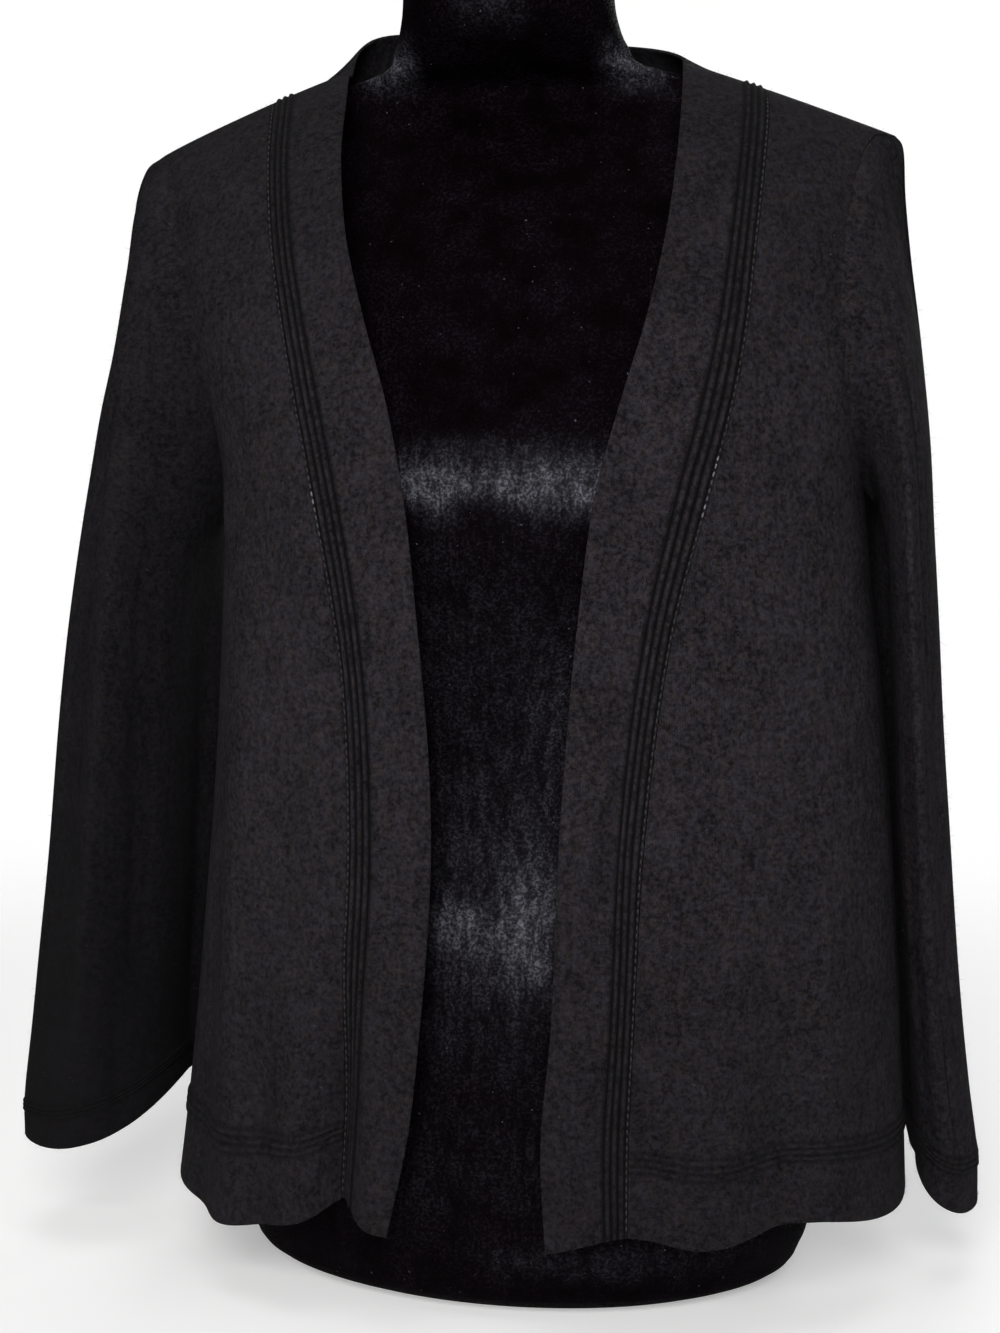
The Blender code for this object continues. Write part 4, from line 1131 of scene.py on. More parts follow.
@dataclass
class ClothPiece:
    """A piece of cloth as a grid of points on the middle of its wall, and its outer points' relief."""

    name: str
    node: str
    cut: Cut
    held: Held
    rests_on: tuple
    points: np.ndarray
    relief: np.ndarray
    groove_shade: np.ndarray
    painted_shade: tuple
    closed: bool = False
    chart_start: np.ndarray | None = None
    wall: float = 0.0018
    seam_gap: float = 0.0003
    edge_places: tuple = (0.12, 0.42)
    free_edges: tuple = (Edge.FIRST_ROW,)
    free_thickness: tuple = (0.30, 0.78, 0.97)
    sewn_thickness: tuple = (0.72, 0.90, 1.0)
    own_normals: np.ndarray = field(init=False)
    normals: np.ndarray = field(init=False)
    outside: np.ndarray = field(init=False)

    def __post_init__(self) -> None:
        """Adds the lines near the edges and works out the normals."""
        grid = np.concatenate([self.points, self.relief[..., None], self.groove_shade[..., None]], axis=2)
        grid = self.with_edge_lines(grid)
        if not self.closed:
            grid = self.with_edge_lines(grid.swapaxes(0, 1)).swapaxes(0, 1)
        self.points = grid[..., :3]
        self.relief = grid[..., 3]
        self.groove_shade = grid[..., 4]
        self.own_normals = self.grid_normals()
        self.normals = self.own_normals.copy()

    def with_edge_lines(self, grid: np.ndarray) -> np.ndarray:
        """Adds rows close to the first and last ones, where the wall's edge rounds off.

        Args:
            grid: Rows x columns x values.

        Returns:
            The grid with its new rows.
        """
        first = [grid[0] + (grid[1] - grid[0]) * place for place in self.edge_places]
        last = [grid[-1] + (grid[-2] - grid[-1]) * place for place in reversed(self.edge_places)]
        return np.concatenate([grid[:1], np.array(first), grid[1:-1], np.array(last), grid[-1:]])

    def grid_normals(self) -> np.ndarray:
        """Outward normals of the grid, whose rows run round the body or the sleeve."""
        up = np.gradient(self.points, axis=0)
        if self.closed:
            across = np.roll(self.points, -1, axis=1) - np.roll(self.points, 1, axis=1)
            centre = self.points.mean(axis=1, keepdims=True)
        else:
            across = np.gradient(self.points, axis=1)
            centre = np.array([0.0, 0.0, self.points[..., 2].mean()])
        normals = unit(np.cross(across, up))
        return normals if (normals * (self.points - centre)).sum() > 0 else -normals

    def edge_places_in_grid(self) -> list:
        """Row and column of each point on the piece's edges."""
        rows, columns = self.points.shape[:2]
        ends = [(row, column) for row in (0, rows - 1) for column in range(columns)]
        if self.closed:
            return ends
        return ends + [(row, column) for row in range(1, rows - 1) for column in (0, columns - 1)]

    def drawn_in(self) -> np.ndarray:
        """The points with each edge drawn in by half the seam's gap."""
        normals = unit(self.own_normals + self.normals)
        moved = self.points.copy()
        edges = [(np.s_[0, :], np.s_[1, :]), (np.s_[-1, :], np.s_[-2, :])]
        if not self.closed:
            edges += [(np.s_[:, 0], np.s_[:, 1]), (np.s_[:, -1], np.s_[:, -2])]
        for edge, inside in edges:
            line = self.points[edge]
            along = np.roll(line, -1, axis=0) - np.roll(line, 1, axis=0)
            if not self.closed:
                along = np.gradient(line, axis=0)
            across = unit(np.cross(normals[edge], along))
            facing = np.sign((across * (self.points[inside] - line)).sum())
            moved[edge] += across * facing * self.seam_gap / 2
        return moved

    def thickness(self) -> np.ndarray:
        """Share of the wall's full thickness at each point, less towards the edges."""
        rows, columns = self.points.shape[:2]
        down = np.ones(rows)
        side = np.ones(columns)
        lines = [(Edge.FIRST_ROW, down), (Edge.LAST_ROW, down[::-1])]
        if not self.closed:
            lines += [(Edge.FIRST_COLUMN, side), (Edge.LAST_COLUMN, side[::-1])]
        for edge, line in lines:
            line[:3] = self.free_thickness if edge in self.free_edges else self.sewn_thickness
        return np.minimum(down[:, None], side[None, :])

    def chart(self) -> np.ndarray:
        """The cloth's own map in metres: across its wales and up its courses.

        Returns:
            Rows x (columns + 1) x 2; the last column closes a sleeve's map.
        """
        ring = np.concatenate([self.points, self.points[:, :1]], axis=1)
        across = walked(ring, 1)
        if self.closed:
            across = np.broadcast_to(across.mean(axis=0), across.shape)
        if self.chart_start is not None:
            rows = np.linspace(0.0, 1.0, len(self.points))
            known = np.linspace(0.0, 1.0, len(self.chart_start))
            across = across + np.interp(rows, known, self.chart_start)[:, None]
        up = walked(self.points, 0).mean(axis=1)
        return np.stack([across, np.broadcast_to(up[:, None], across.shape)], axis=-1)

    def mesh(self) -> bpy.types.Mesh:
        """The closed wall: outside, inside and the narrow edge between them.

        Returns:
            The mesh, with the cloth's map as its UVs.
        """
        rows, columns = self.points.shape[:2]
        middle = self.drawn_in()
        share = self.thickness()[..., None]
        self.outside = middle + self.normals * (self.wall / 2 + self.relief[..., None]) * share
        inside = middle - self.normals * (self.wall / 2) * share
        spans = columns if self.closed else columns - 1
        row, column = np.meshgrid(np.arange(rows - 1), np.arange(spans), indexing="ij")
        row, column = row.ravel(), column.ravel()
        corner_rows = np.stack([row, row, row + 1, row + 1], axis=1)
        corner_columns = np.stack([column, column + 1, column + 1, column], axis=1)
        outer = corner_rows * columns + corner_columns % columns
        under = rows * columns
        faces = [outer, under + outer[:, ::-1]]
        charted = [corner_rows * (columns + 1) + corner_columns]
        charted.append(charted[0][:, ::-1])
        for edge_row in (0, rows - 1):
            place = np.arange(spans)
            line = edge_row * columns + np.stack([place, (place + 1) % columns], axis=1)
            chart_line = edge_row * (columns + 1) + np.stack([place, place + 1], axis=1)
            if edge_row == 0:
                line, chart_line = line[:, ::-1], chart_line[:, ::-1]
            faces.append(np.concatenate([line, under + line[:, ::-1]], axis=1))
            charted.append(np.concatenate([chart_line, chart_line[:, ::-1]], axis=1))
        if not self.closed:
            for edge_column in (0, columns - 1):
                place = np.arange(rows - 1)
                line = np.stack([place, place + 1], axis=1) * columns + edge_column
                chart_line = np.stack([place, place + 1], axis=1) * (columns + 1) + edge_column
                if edge_column:
                    line, chart_line = line[:, ::-1], chart_line[:, ::-1]
                faces.append(np.concatenate([line, under + line[:, ::-1]], axis=1))
                charted.append(np.concatenate([chart_line, chart_line[:, ::-1]], axis=1))
        quads = np.concatenate(faces)
        corners = np.concatenate(charted)
        across = self.points[0, 1] - self.points[0, 0]
        up = self.points[1, 0] - self.points[0, 0]
        if np.dot(np.cross(across, up), self.normals[0, 0]) < 0:
            quads, corners = quads[:, ::-1], corners[:, ::-1]
        mesh = bpy.data.meshes.new(self.name)
        vertices = np.concatenate([self.outside.reshape(-1, 3), inside.reshape(-1, 3)])
        mesh.from_pydata(vertices.tolist(), [], quads.tolist())
        chart = self.chart().reshape(-1, 2)[corners.ravel()]
        mesh.uv_layers.new(name="cloth").data.foreach_set("uv", chart.astype(np.float32).ravel())
        # Painted shade: each point's share of the full tone, read from the piece's table by its height.
        height, fade = np.array(self.painted_shade).T
        keep_values(mesh, "fade", np.interp(vertices[:, 2], height, fade))
        keep_values(mesh, "groove_shade", np.concatenate([self.groove_shade.ravel(), np.zeros(self.groove_shade.size)]))
        return mesh

    def dress(self, material: bpy.types.Material) -> bpy.types.Object:
        """Builds the piece, which takes its node's place.

        Args:
            material: The knit.

        Returns:
            The piece.
        """
        piece = add_piece(self.mesh(), material)
        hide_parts(self.node)
        return piece


@dataclass(frozen=True)
class FrontPanel:
    """One front, from its band's outer edge to the side seam and the armhole."""

    side: Side
    shell: BodyShell = BodyShell()
    rows: BodyRows = BodyRows()
    columns: int = 50
    rib_rise: float = 0.0011
    cut: Cut = Cut(0.200, 0.620, 0.080)

    def grid(self) -> np.ndarray:
        """Rows of points from the band's edge outwards."""
        runs = self.rows.runs()
        sign = self.side.value
        start = self.shell.turn_at(runs, sign, self.shell.outer_edge(runs, self.side))
        end = self.shell.armhole(runs)
        turns = np.linspace(start, end, self.columns + 1, axis=1)
        return self.shell.points(runs[:, None], sign, turns, Face.FRONT)

    def piece(self) -> ClothPiece:
        """The panel as a piece of cloth."""
        points = self.grid()
        word = self.side.name.lower()
        relief = np.broadcast_to(self.rows.rises()[:, None] * self.rib_rise, points.shape[:2])
        groove_shade = np.broadcast_to(self.rows.groove_shades()[:, None], points.shape[:2])
        return ClothPiece(
            name=f"front_panel_{word}",
            node=f"front_{word}",
            cut=self.cut,
            held=Held.DRAPED,
            rests_on=("dress_form_velvet",),
            points=points,
            relief=relief,
            groove_shade=groove_shade,
            painted_shade=BODY_PAINTED_SHADE,
            chart_start=self.shell.outer_edge(self.rows.runs(), self.side),
        )


@dataclass(frozen=True)
class FrontBand:
    """One front band, from the edge sewn to its front to its free edge."""

    side: Side
    shell: BodyShell = BodyShell()
    rows: BodyRows = BodyRows()
    plan: BandPlan = BandPlan()
    rib_rise: float = 0.0011
    cut: Cut = Cut(0.055, 0.645, 0.028)

    def grid(self) -> np.ndarray:
        """Rows of points across the band."""
        runs = self.rows.runs()[:, None]
        sign = self.side.value
        inner = self.shell.inner_edge(runs, self.side)
        outer = self.shell.outer_edge(runs, self.side)
        places = outer + (inner - outer) * self.plan.shares()[None, :]
        return self.shell.points(runs, sign, self.shell.turn_at(runs, sign, places), Face.FRONT)

    def piece(self) -> ClothPiece:
        """The band as a piece of cloth."""
        points = self.grid()
        word = self.side.name.lower()
        return ClothPiece(
            name=f"front_band_{word}",
            node=f"band_{word}",
            cut=self.cut,
            held=Held.DRAPED,
            rests_on=("dress_form_velvet",),
            points=points,
            relief=np.broadcast_to(self.plan.rises()[None, :] * self.rib_rise, points.shape[:2]),
            groove_shade=np.broadcast_to(self.plan.groove_shades()[None, :], points.shape[:2]),
            painted_shade=BODY_PAINTED_SHADE,
            free_edges=(Edge.FIRST_ROW, Edge.LAST_COLUMN),
        )


@dataclass(frozen=True)
class BackPanel:
    """The back, from side seam to side seam, cut away at the neck."""

    shell: BodyShell = BodyShell()
    rows: BodyRows = BodyRows()
    side_columns: int = 50
    middle_columns: int = 60
    shaped_from: float = 0.488
    neck_roundness: float = 1.15
    neck_middle: float = 0.578
    rib_rise: float = 0.0011
    cut: Cut = Cut(0.520, 0.625, 0.260)

    def grid(self) -> np.ndarray:
        """Rows of points from the left side seam to the right one."""
        runs = self.rows.runs()
        end = self.shell.armhole(runs)
        left_edge = self.shell.outer_edge(runs, Side.LEFT)
        right_edge = self.shell.outer_edge(runs, Side.RIGHT)
        left = np.linspace(end, self.shell.turn_at(runs, -1, left_edge), self.side_columns + 1, axis=1)
        right = np.linspace(self.shell.turn_at(runs, 1, right_edge), end, self.side_columns + 1, axis=1)
        share = np.linspace(0.0, 1.0, self.middle_columns + 1)[1:-1][None, :]
        middle = ((right_edge - left_edge) / 2)[:, None]
        x = middle - ((right_edge + left_edge) / 2)[:, None] * np.cos(math.pi * share)
        dip = np.sin(math.pi * share) ** self.neck_roundness
        deepest = (self.rows.top - self.neck_middle) / (self.rows.top - self.shaped_from)
        run = runs[:, None] + np.zeros_like(x)
        shaped = self.shaped_from + (run - self.shaped_from) * (1.0 - dip * deepest)
        run = np.where(run < self.shaped_from, run, shaped)
        sign = np.where(x > 0, 1, -1)
        parts = [
            self.shell.points(runs[:, None], -1, left, Face.BACK),
            self.shell.points(run, sign, self.shell.turn_at(run, sign, x), Face.BACK),
            self.shell.points(runs[:, None], 1, right, Face.BACK),
        ]
        return np.concatenate(parts, axis=1)

    def neck_line(self, grid: np.ndarray) -> np.ndarray:
        """The back's edge behind the neck, in a grid made by this panel."""
        return grid[-1, self.side_columns : self.side_columns + self.middle_columns + 1]

    def piece(self) -> ClothPiece:
        """The panel as a piece of cloth."""
        points = self.grid()
        return ClothPiece(
            name="back_panel",
            node="back",
            cut=self.cut,
            held=Held.DRAPED,
            rests_on=("dress_form_velvet",),
            points=points,
            relief=np.broadcast_to(self.rows.rises()[:, None] * self.rib_rise, points.shape[:2]),
            groove_shade=np.broadcast_to(self.rows.groove_shades()[:, None], points.shape[:2]),
            painted_shade=BODY_PAINTED_SHADE,
        )


@dataclass(frozen=True)
class NeckBand:
    """The band behind the neck, whose ends meet the front bands."""

    plan: BandPlan = BandPlan()
    bow: float = 0.003
    end_blend: float = 0.10
    rib_rise: float = 0.0011
    cut: Cut = Cut(0.310, 0.046, 0.0112)

    def grid(self, neck_line: np.ndarray, left_end: np.ndarray, right_end: np.ndarray) -> np.ndarray:
        """Columns of points across the band, from the back's edge up.

        Args:
            neck_line: The back's edge.
            left_end: The left front band's top row.
            right_end: The right front band's top row.

        Returns:
            The grid, from left to right.
        """
        along = np.linspace(0.0, 1.0, len(neck_line))
        across = self.plan.shares()[None, :, None]
        top = NECK_CURVES.at(along)[:, 1:]
        bow = np.sin(math.pi * along)[:, None, None] * np.array([0.0, self.bow, 0.0])
        foot = neck_line[:, None, :]
        grid = foot + (top[:, None, :] - foot) * across + bow * np.sin(math.pi * across)
        from_left = (1.0 - ease(along / self.end_blend))[:, None, None]
        from_right = (1.0 - ease((1.0 - along) / self.end_blend))[:, None, None]
        return grid + from_left * (left_end - grid[0]) + from_right * (right_end - grid[-1])

    def piece(self, neck_line: np.ndarray, left_end: np.ndarray, right_end: np.ndarray) -> ClothPiece:
        """The band as a piece of cloth, from the same lines as `grid`."""
        points = self.grid(neck_line, left_end, right_end)
        return ClothPiece(
            name="neck_band",
            node="band_neck",
            cut=self.cut,
            held=Held.DRAPED,
            rests_on=("back_panel", "dress_form_velvet"),
            points=points,
            relief=np.broadcast_to(self.plan.rises()[None, :] * self.rib_rise, points.shape[:2]),
            groove_shade=np.broadcast_to(self.plan.groove_shades()[None, :], points.shape[:2]),
            painted_shade=BODY_PAINTED_SHADE,
            free_edges=(Edge.LAST_COLUMN,),
        )


@dataclass(frozen=True)
class Sleeve:
    """A sleeve that hangs from its armhole as a soft tube."""

    side: Side
    rings: tuple
    folds: tuple
    rows: BodyRows = BodyRows()
    fullness: float = 2.15
    fold_steepness: float = 1.6
    armhole_blend: float = 0.36
    drop_lead: float = 15.0
    length: float = 0.53
    step: float = 0.0026
    rib_start: float = 0.030
    rib_pitch: float = 0.0036
    ribs: int = 3
    rib_samples: int = 6
    rib_rise: float = 0.0008
    cut: Cut = Cut(0.470, 0.560, 0.160)

    def shares(self) -> np.ndarray:
        """Places down the sleeve, closest on the cuff's ribs."""
        ribs_high = 1.0 - (self.rib_start + self.ribs * self.rib_pitch) / self.length
        ribs_low = 1.0 - self.rib_start / self.length
        step = self.step / self.length
        upper = np.linspace(0.0, ribs_high, round(ribs_high / step), endpoint=False)
        ribs = np.linspace(ribs_high, ribs_low, self.ribs * self.rib_samples, endpoint=False)
        return np.concatenate([upper, ribs, np.linspace(ribs_low, 1.0, round((1.0 - ribs_low) / step))])

    def places(self) -> np.ndarray:
        """Places up from the cuff, counted in ribs."""
        return ((1.0 - self.shares()) * self.length - self.rib_start) / self.rib_pitch

    def rises(self) -> np.ndarray:
        """Share of a rib's full rise at each place."""
        return rib_rise(self.places(), self.ribs)

    def groove_shades(self) -> np.ndarray:
        """How much painted shade each place takes, by how deep it lies in a groove."""
        return HEM_AND_CUFF_GROOVE_SHADE * rib_groove(self.places(), self.ribs)

    def armhole_ring(self, front: np.ndarray, back: np.ndarray) -> np.ndarray:
        """The armhole's edge, from the shoulder tip down the front and up the back.

        Args:
            front: The front's grid.
            back: The back's grid.

        Returns:
            The ring of points.
        """
        first = self.rows.underarm_row()
        back_column = -1 if self.side is Side.RIGHT else 0
        return np.concatenate([front[first:, -1][::-1], back[first + 1 : -1, back_column]])

    def frame_of(self, ring: SleeveRing) -> tuple:
        """Centre of a section, and the step from there to its outer point."""
        outer = np.stack([ring.outer_x, ring.middle, ring.outer_height], axis=-1)
        inner = np.stack([ring.inner_x, ring.middle, ring.inner_height], axis=-1)
        return (outer + inner) / 2, (outer - inner) / 2

    def plain_rings(self, shares: np.ndarray, turns: np.ndarray) -> np.ndarray:
        """Rounded flat rings, without folds.

        Args:
            shares: Places down the sleeve.
            turns: Turns round it, in radians.

        Returns:
            Places x turns x 3.
        """
        ring = SleeveRing(*SmoothTable(self.rings).columns(shares))
        centre, axis = self.frame_of(ring)
        power = 2 / self.fullness
        along = np.sign(np.cos(turns)) * np.abs(np.cos(turns)) ** power
        across = np.sign(np.sin(turns)) * np.abs(np.sin(turns)) ** power
        lead = np.maximum(np.sin(turns - math.radians(self.drop_lead)), 0.0) ** 2
        points = centre[:, None, :] + axis[:, None, :] * along[None, :, None]
        inner_back = np.maximum(-np.sin(turns), 0.0) * (1.0 - np.cos(turns)) / 2
        points[..., 0] -= self.side.value * ring.back_swell[:, None] * inner_back[None, :]
        points[..., 1] -= ring.half_depth[:, None] * across[None, :]
        points[..., 2] -= ring.front_drop[:, None] * lead[None, :]
        return points

    def fold_depth(self, shares: np.ndarray, turns: np.ndarray) -> np.ndarray:
        """How far the folds push the sleeve out.

        Args:
            shares: Places down the sleeve.
            turns: Turns round it, in radians.

        Returns:
            Places x turns.
        """
        pushed = np.zeros((len(shares), len(turns)))
        for fold in self.folds:
            middle = (fold.start + fold.end) / 2
            reach = (fold.end - fold.start) / 2
            place = (shares - middle) / reach
            fade = ease(self.fold_steepness * (1.0 - np.abs(place)))
            centre = fold.turn + fold.lean * np.clip(place, -1.0, 1.0)
            away = (np.degrees(turns)[None, :] - centre[:, None] + 180.0) % 360.0 - 180.0
            pushed += fold.depth * fade[:, None] * np.exp(-((away / fold.width) ** 2))
        return pushed

    def grid(self, armhole: np.ndarray) -> np.ndarray:
        """Rings from the armhole to the cuff.

        Args:
            armhole: The armhole's ring of points.

        Returns:
            The grid.
        """
        first = self.rings[0]
        centre, axis = self.frame_of(first)
        along = (armhole - centre) @ axis / (axis @ axis)
        across = -(armhole[:, 1] - centre[1]) / first.half_depth
        turns = np.arctan2(across, along) % (2 * math.pi)
        turns[0] = 0.0
        shares = self.shares()
        points = self.plain_rings(shares, turns)
        start = points[0].copy()
        out = unit(points - points.mean(axis=1, keepdims=True))
        points += out * self.fold_depth(shares, turns)[..., None]
        keep = 1.0 - ease(shares / self.armhole_blend)
        return points + keep[:, None, None] * (armhole - start)

    def piece(self, armhole: np.ndarray) -> ClothPiece:
        """The sleeve as a piece of cloth, hung from its armhole."""
        points = self.grid(armhole)
        word = self.side.name.lower()
        return ClothPiece(
            name=f"long_sleeve_{word}",
            node=f"sleeve_{word}",
            cut=self.cut,
            held=Held.HUNG,
            rests_on=(f"front_panel_{word}", "back_panel"),
            points=points,
            relief=np.broadcast_to(self.rises()[:, None] * self.rib_rise, points.shape[:2]),
            groove_shade=np.broadcast_to(self.groove_shades()[:, None], points.shape[:2]),
            painted_shade=LEFT_PAINTED_SHADE if self.side is Side.LEFT else RIGHT_PAINTED_SHADE,
            closed=True,
            free_edges=(Edge.LAST_ROW,),
        )


@dataclass
class Cardigan:
    """The whole garment: its pieces, with their seams matched."""

    fronts: tuple = (FrontPanel(Side.LEFT), FrontPanel(Side.RIGHT))
    bands: tuple = (FrontBand(Side.LEFT), FrontBand(Side.RIGHT))
    back: BackPanel = BackPanel()
    neck: NeckBand = NeckBand()
    sleeves: tuple = (
        Sleeve(Side.LEFT, LEFT_RINGS, LEFT_SLEEVE_FOLDS + LEFT_SLEEVE_CREASES),
        Sleeve(Side.RIGHT, RIGHT_RINGS, RIGHT_SLEEVE_FOLDS + RIGHT_SLEEVE_CREASES),
    )
    pieces: list = field(default_factory=list)

    def cut_out(self) -> None:
        """Makes every piece and matches the normals along the seams."""
        back = self.back.grid()
        fronts = [front.grid() for front in self.fronts]
        bands = [band.grid() for band in self.bands]
        self.pieces = [self.back.piece()]
        self.pieces += [front.piece() for front in self.fronts]
        self.pieces += [band.piece() for band in self.bands]
        self.pieces.append(self.neck.piece(self.back.neck_line(back), bands[0][-1], bands[1][-1]))
        for sleeve, front in zip(self.sleeves, fronts):
            self.pieces.append(sleeve.piece(sleeve.armhole_ring(front, back)))
        self.match_seams()

    def match_seams(self) -> None:
        """Gives points that pieces share along a seam one normal, so that their walls part evenly."""
        places: dict = {}
        for piece in self.pieces:
            for row, column in piece.edge_places_in_grid():
                key = tuple(np.round(piece.points[row, column], 5))
                places.setdefault(key, []).append((piece, row, column))
        for members in places.values():
            panels = sum(1 for piece, _, _ in members if not piece.closed)
            total = np.zeros(3)
            for piece, row, column in members:
                total += piece.own_normals[row, column] * (max(panels, 1) if piece.closed else 1)
            total /= max(np.linalg.norm(total), 1e-9)
            for piece, row, column in members:
                piece.normals[row, column] = total

    def dress(self, effects: Effects) -> list:
        """Builds the pieces in their knit.

        Args:
            effects: The shared groups.

        Returns:
            The pieces' objects.
        """
        knit = KnitFinish("faded_black_knit").material(effects)
        return [piece.dress(knit) for piece in self.pieces]


@dataclass(frozen=True)
class Fuzz:
    """Short bent fibres that stand off the knit, most of them along its edges."""

    count: int = 13000
    edge_favour: float = 14.0
    shortest: float = 0.0012
    longest: float = 0.0042
    half_width: float = 0.000045
    seed: int = 11
    lean: float = 0.55
    scatter: float = 0.6
    bent: float = 0.35
    waist: float = 0.55
    waist_width: float = 0.8
    dullest: float = 0.01
    shine_range: float = 0.10
    corners: int = 3

    def roots(self, pieces: list, random: np.random.Generator) -> tuple:
        """Chooses where fibres grow.

        Args:
            pieces: The cloth pieces.
            random: Source of the choices.

        Returns:
            Places and normals.
        """
        areas = np.array([piece.cut.area for piece in pieces])
        counts = (areas / areas.sum() * self.count).astype(int)
        places = []
        normals = []
        for piece, number in zip(pieces, counts):
            steps_up = np.linalg.norm(np.diff(piece.outside, axis=0), axis=-1)[:, :-1]
            steps_across = np.linalg.norm(np.diff(piece.outside, axis=1), axis=-1)[:-1]
            area = steps_up * steps_across
            for edge in piece.free_edges:
                strip = {Edge.FIRST_ROW: np.s_[:3], Edge.LAST_ROW: np.s_[-3:]}
                strip |= {Edge.FIRST_COLUMN: np.s_[:, :3], Edge.LAST_COLUMN: np.s_[:, -3:]}
                area[strip[edge]] *= self.edge_favour
            chosen = random.choice(area.size, number, p=(area / area.sum()).ravel())
            row, column = np.unravel_index(chosen, area.shape)
            up, across = random.random((2, number, 1))
            cloth = piece.outside
            low = cloth[row, column] * (1 - across) + cloth[row, column + 1] * across
            high = cloth[row + 1, column] * (1 - across) + cloth[row + 1, column + 1] * across
            places.append(low * (1 - up) + high * up)
            normals.append(piece.normals[row, column])
        return np.concatenate(places), np.concatenate(normals)

    def build(self, pieces: list, material: bpy.types.Material) -> bpy.types.Object:
        """Builds all the fibres as one mesh.

        Args:
            pieces: The cloth pieces, already built.
            material: The fibres' finish.

        Returns:
            The piece.
        """
        random = np.random.default_rng(self.seed)
        place, normal = self.roots(pieces, random)
        number = len(place)
        aim = unit(normal * self.lean + random.normal(0.0, self.scatter, (number, 3)))
        bend = unit(random.normal(0.0, 1.0, (number, 3)))
        length = self.shortest + (self.longest - self.shortest) * random.random((number, 1)) ** 2
        side = unit(np.cross(aim, bend))
        other = np.cross(aim, side)
        sections = []
        for share, width in ((0.0, 1.0), (self.waist, self.waist_width)):
            spine = place + aim * length * share + bend * length * self.bent * share**2
            for corner in range(self.corners):
                turn = 2 * math.pi * corner / self.corners
                spoke = side * math.cos(turn) + other * math.sin(turn)
                sections.append(spine + spoke * self.half_width * width)
        sections.append(place + aim * length + bend * length * self.bent)
        vertices = np.stack(sections, axis=1).reshape(-1, 3)
        root = np.arange(number) * len(sections)
        waist = root + self.corners
        tip = waist + self.corners
        faces = []
        for corner in range(self.corners):
            after = (corner + 1) % self.corners
            faces.append(np.stack([root + corner, root + after, waist + after], axis=1))
            faces.append(np.stack([root + corner, waist + after, waist + corner], axis=1))
            faces.append(np.stack([waist + corner, waist + after, tip], axis=1))
        faces.append(np.stack([root, root + 2, root + 1], axis=1))
        mesh = bpy.data.meshes.new("knit_fuzz")
        mesh.from_pydata(vertices.tolist(), [], np.concatenate(faces).tolist())
        shines = self.dullest + self.shine_range * random.random(number) ** 3
        keep_values(mesh, "shine", np.repeat(shines, len(sections)))
        return add_piece(mesh, material)


@dataclass(frozen=True)
class StripStitches:
    """Sewing along the outer edge of a front band's ribbed strip, pale where the light catches it."""

    side: Side
    pale_from: float
    pale_to: float
    column: int = 3
    pitch: float = 0.0040
    bare_top: float = 0.030
    length: float = 0.0025
    half_width: float = 0.00050
    sides: int = 6
    shares: tuple = (0.0, 0.14, 0.5, 0.86, 1.0)
    widths: tuple = (0.10, 0.75, 1.0, 0.75, 0.10)
    dimmest: float = 0.08
    gleam: float = 0.62
    unevenness: float = 1700.0

    def build(self, band: ClothPiece, material: bpy.types.Material) -> bpy.types.Object:
        """Builds the row of stitches as one mesh.

        Args:
            band: The band, already built.
            material: The thread.

        Returns:
            The piece.
        """
        line = band.outside[:, self.column]
        normals = band.normals[:, self.column]
        far = walked(line[:, None, :], 0)[:, 0]
        starts = np.arange(self.pitch, far[-1] - self.bare_top, self.pitch)
        vertices = []
        faces = []
        shines = []
        for start in starts:
            first = len(vertices)
            for share, width in zip(self.shares, self.widths):
                at = start + self.length * share
                centre = np.array([np.interp(at, far, line[:, axis]) for axis in range(3)])
                out = unit(np.array([np.interp(at, far, normals[:, axis]) for axis in range(3)]))
                side = unit(np.cross(out, np.array([0.0, 0.0, 1.0])))
                for corner in range(self.sides):
                    turn = 2 * math.pi * corner / self.sides
                    spoke = side * math.cos(turn) + out * math.sin(turn)
                    vertices.append(centre + spoke * self.half_width * width)
            lit = self.pale_from < line[np.searchsorted(far, start), 2] < self.pale_to
            pale = self.dimmest + self.gleam * math.sin(start * self.unevenness) ** 4 if lit else 0.0
            shines += [pale] * (len(self.shares) * self.sides)
            for ring in range(len(self.shares) - 1):
                for corner in range(self.sides):
                    low = first + ring * self.sides
                    high = low + self.sides
                    after = (corner + 1) % self.sides
                    faces.append([low + corner, low + after, high + after, high + corner])
            faces.append([first + corner for corner in reversed(range(self.sides))])
            last = first + (len(self.shares) - 1) * self.sides
            faces.append([last + corner for corner in range(self.sides)])
        mesh = bpy.data.meshes.new(f"strip_stitches_{self.side.name.lower()}")
        mesh.from_pydata([tuple(point) for point in vertices], [], faces)
        keep_values(mesh, "shine", np.array(shines))
        return add_piece(mesh, material)


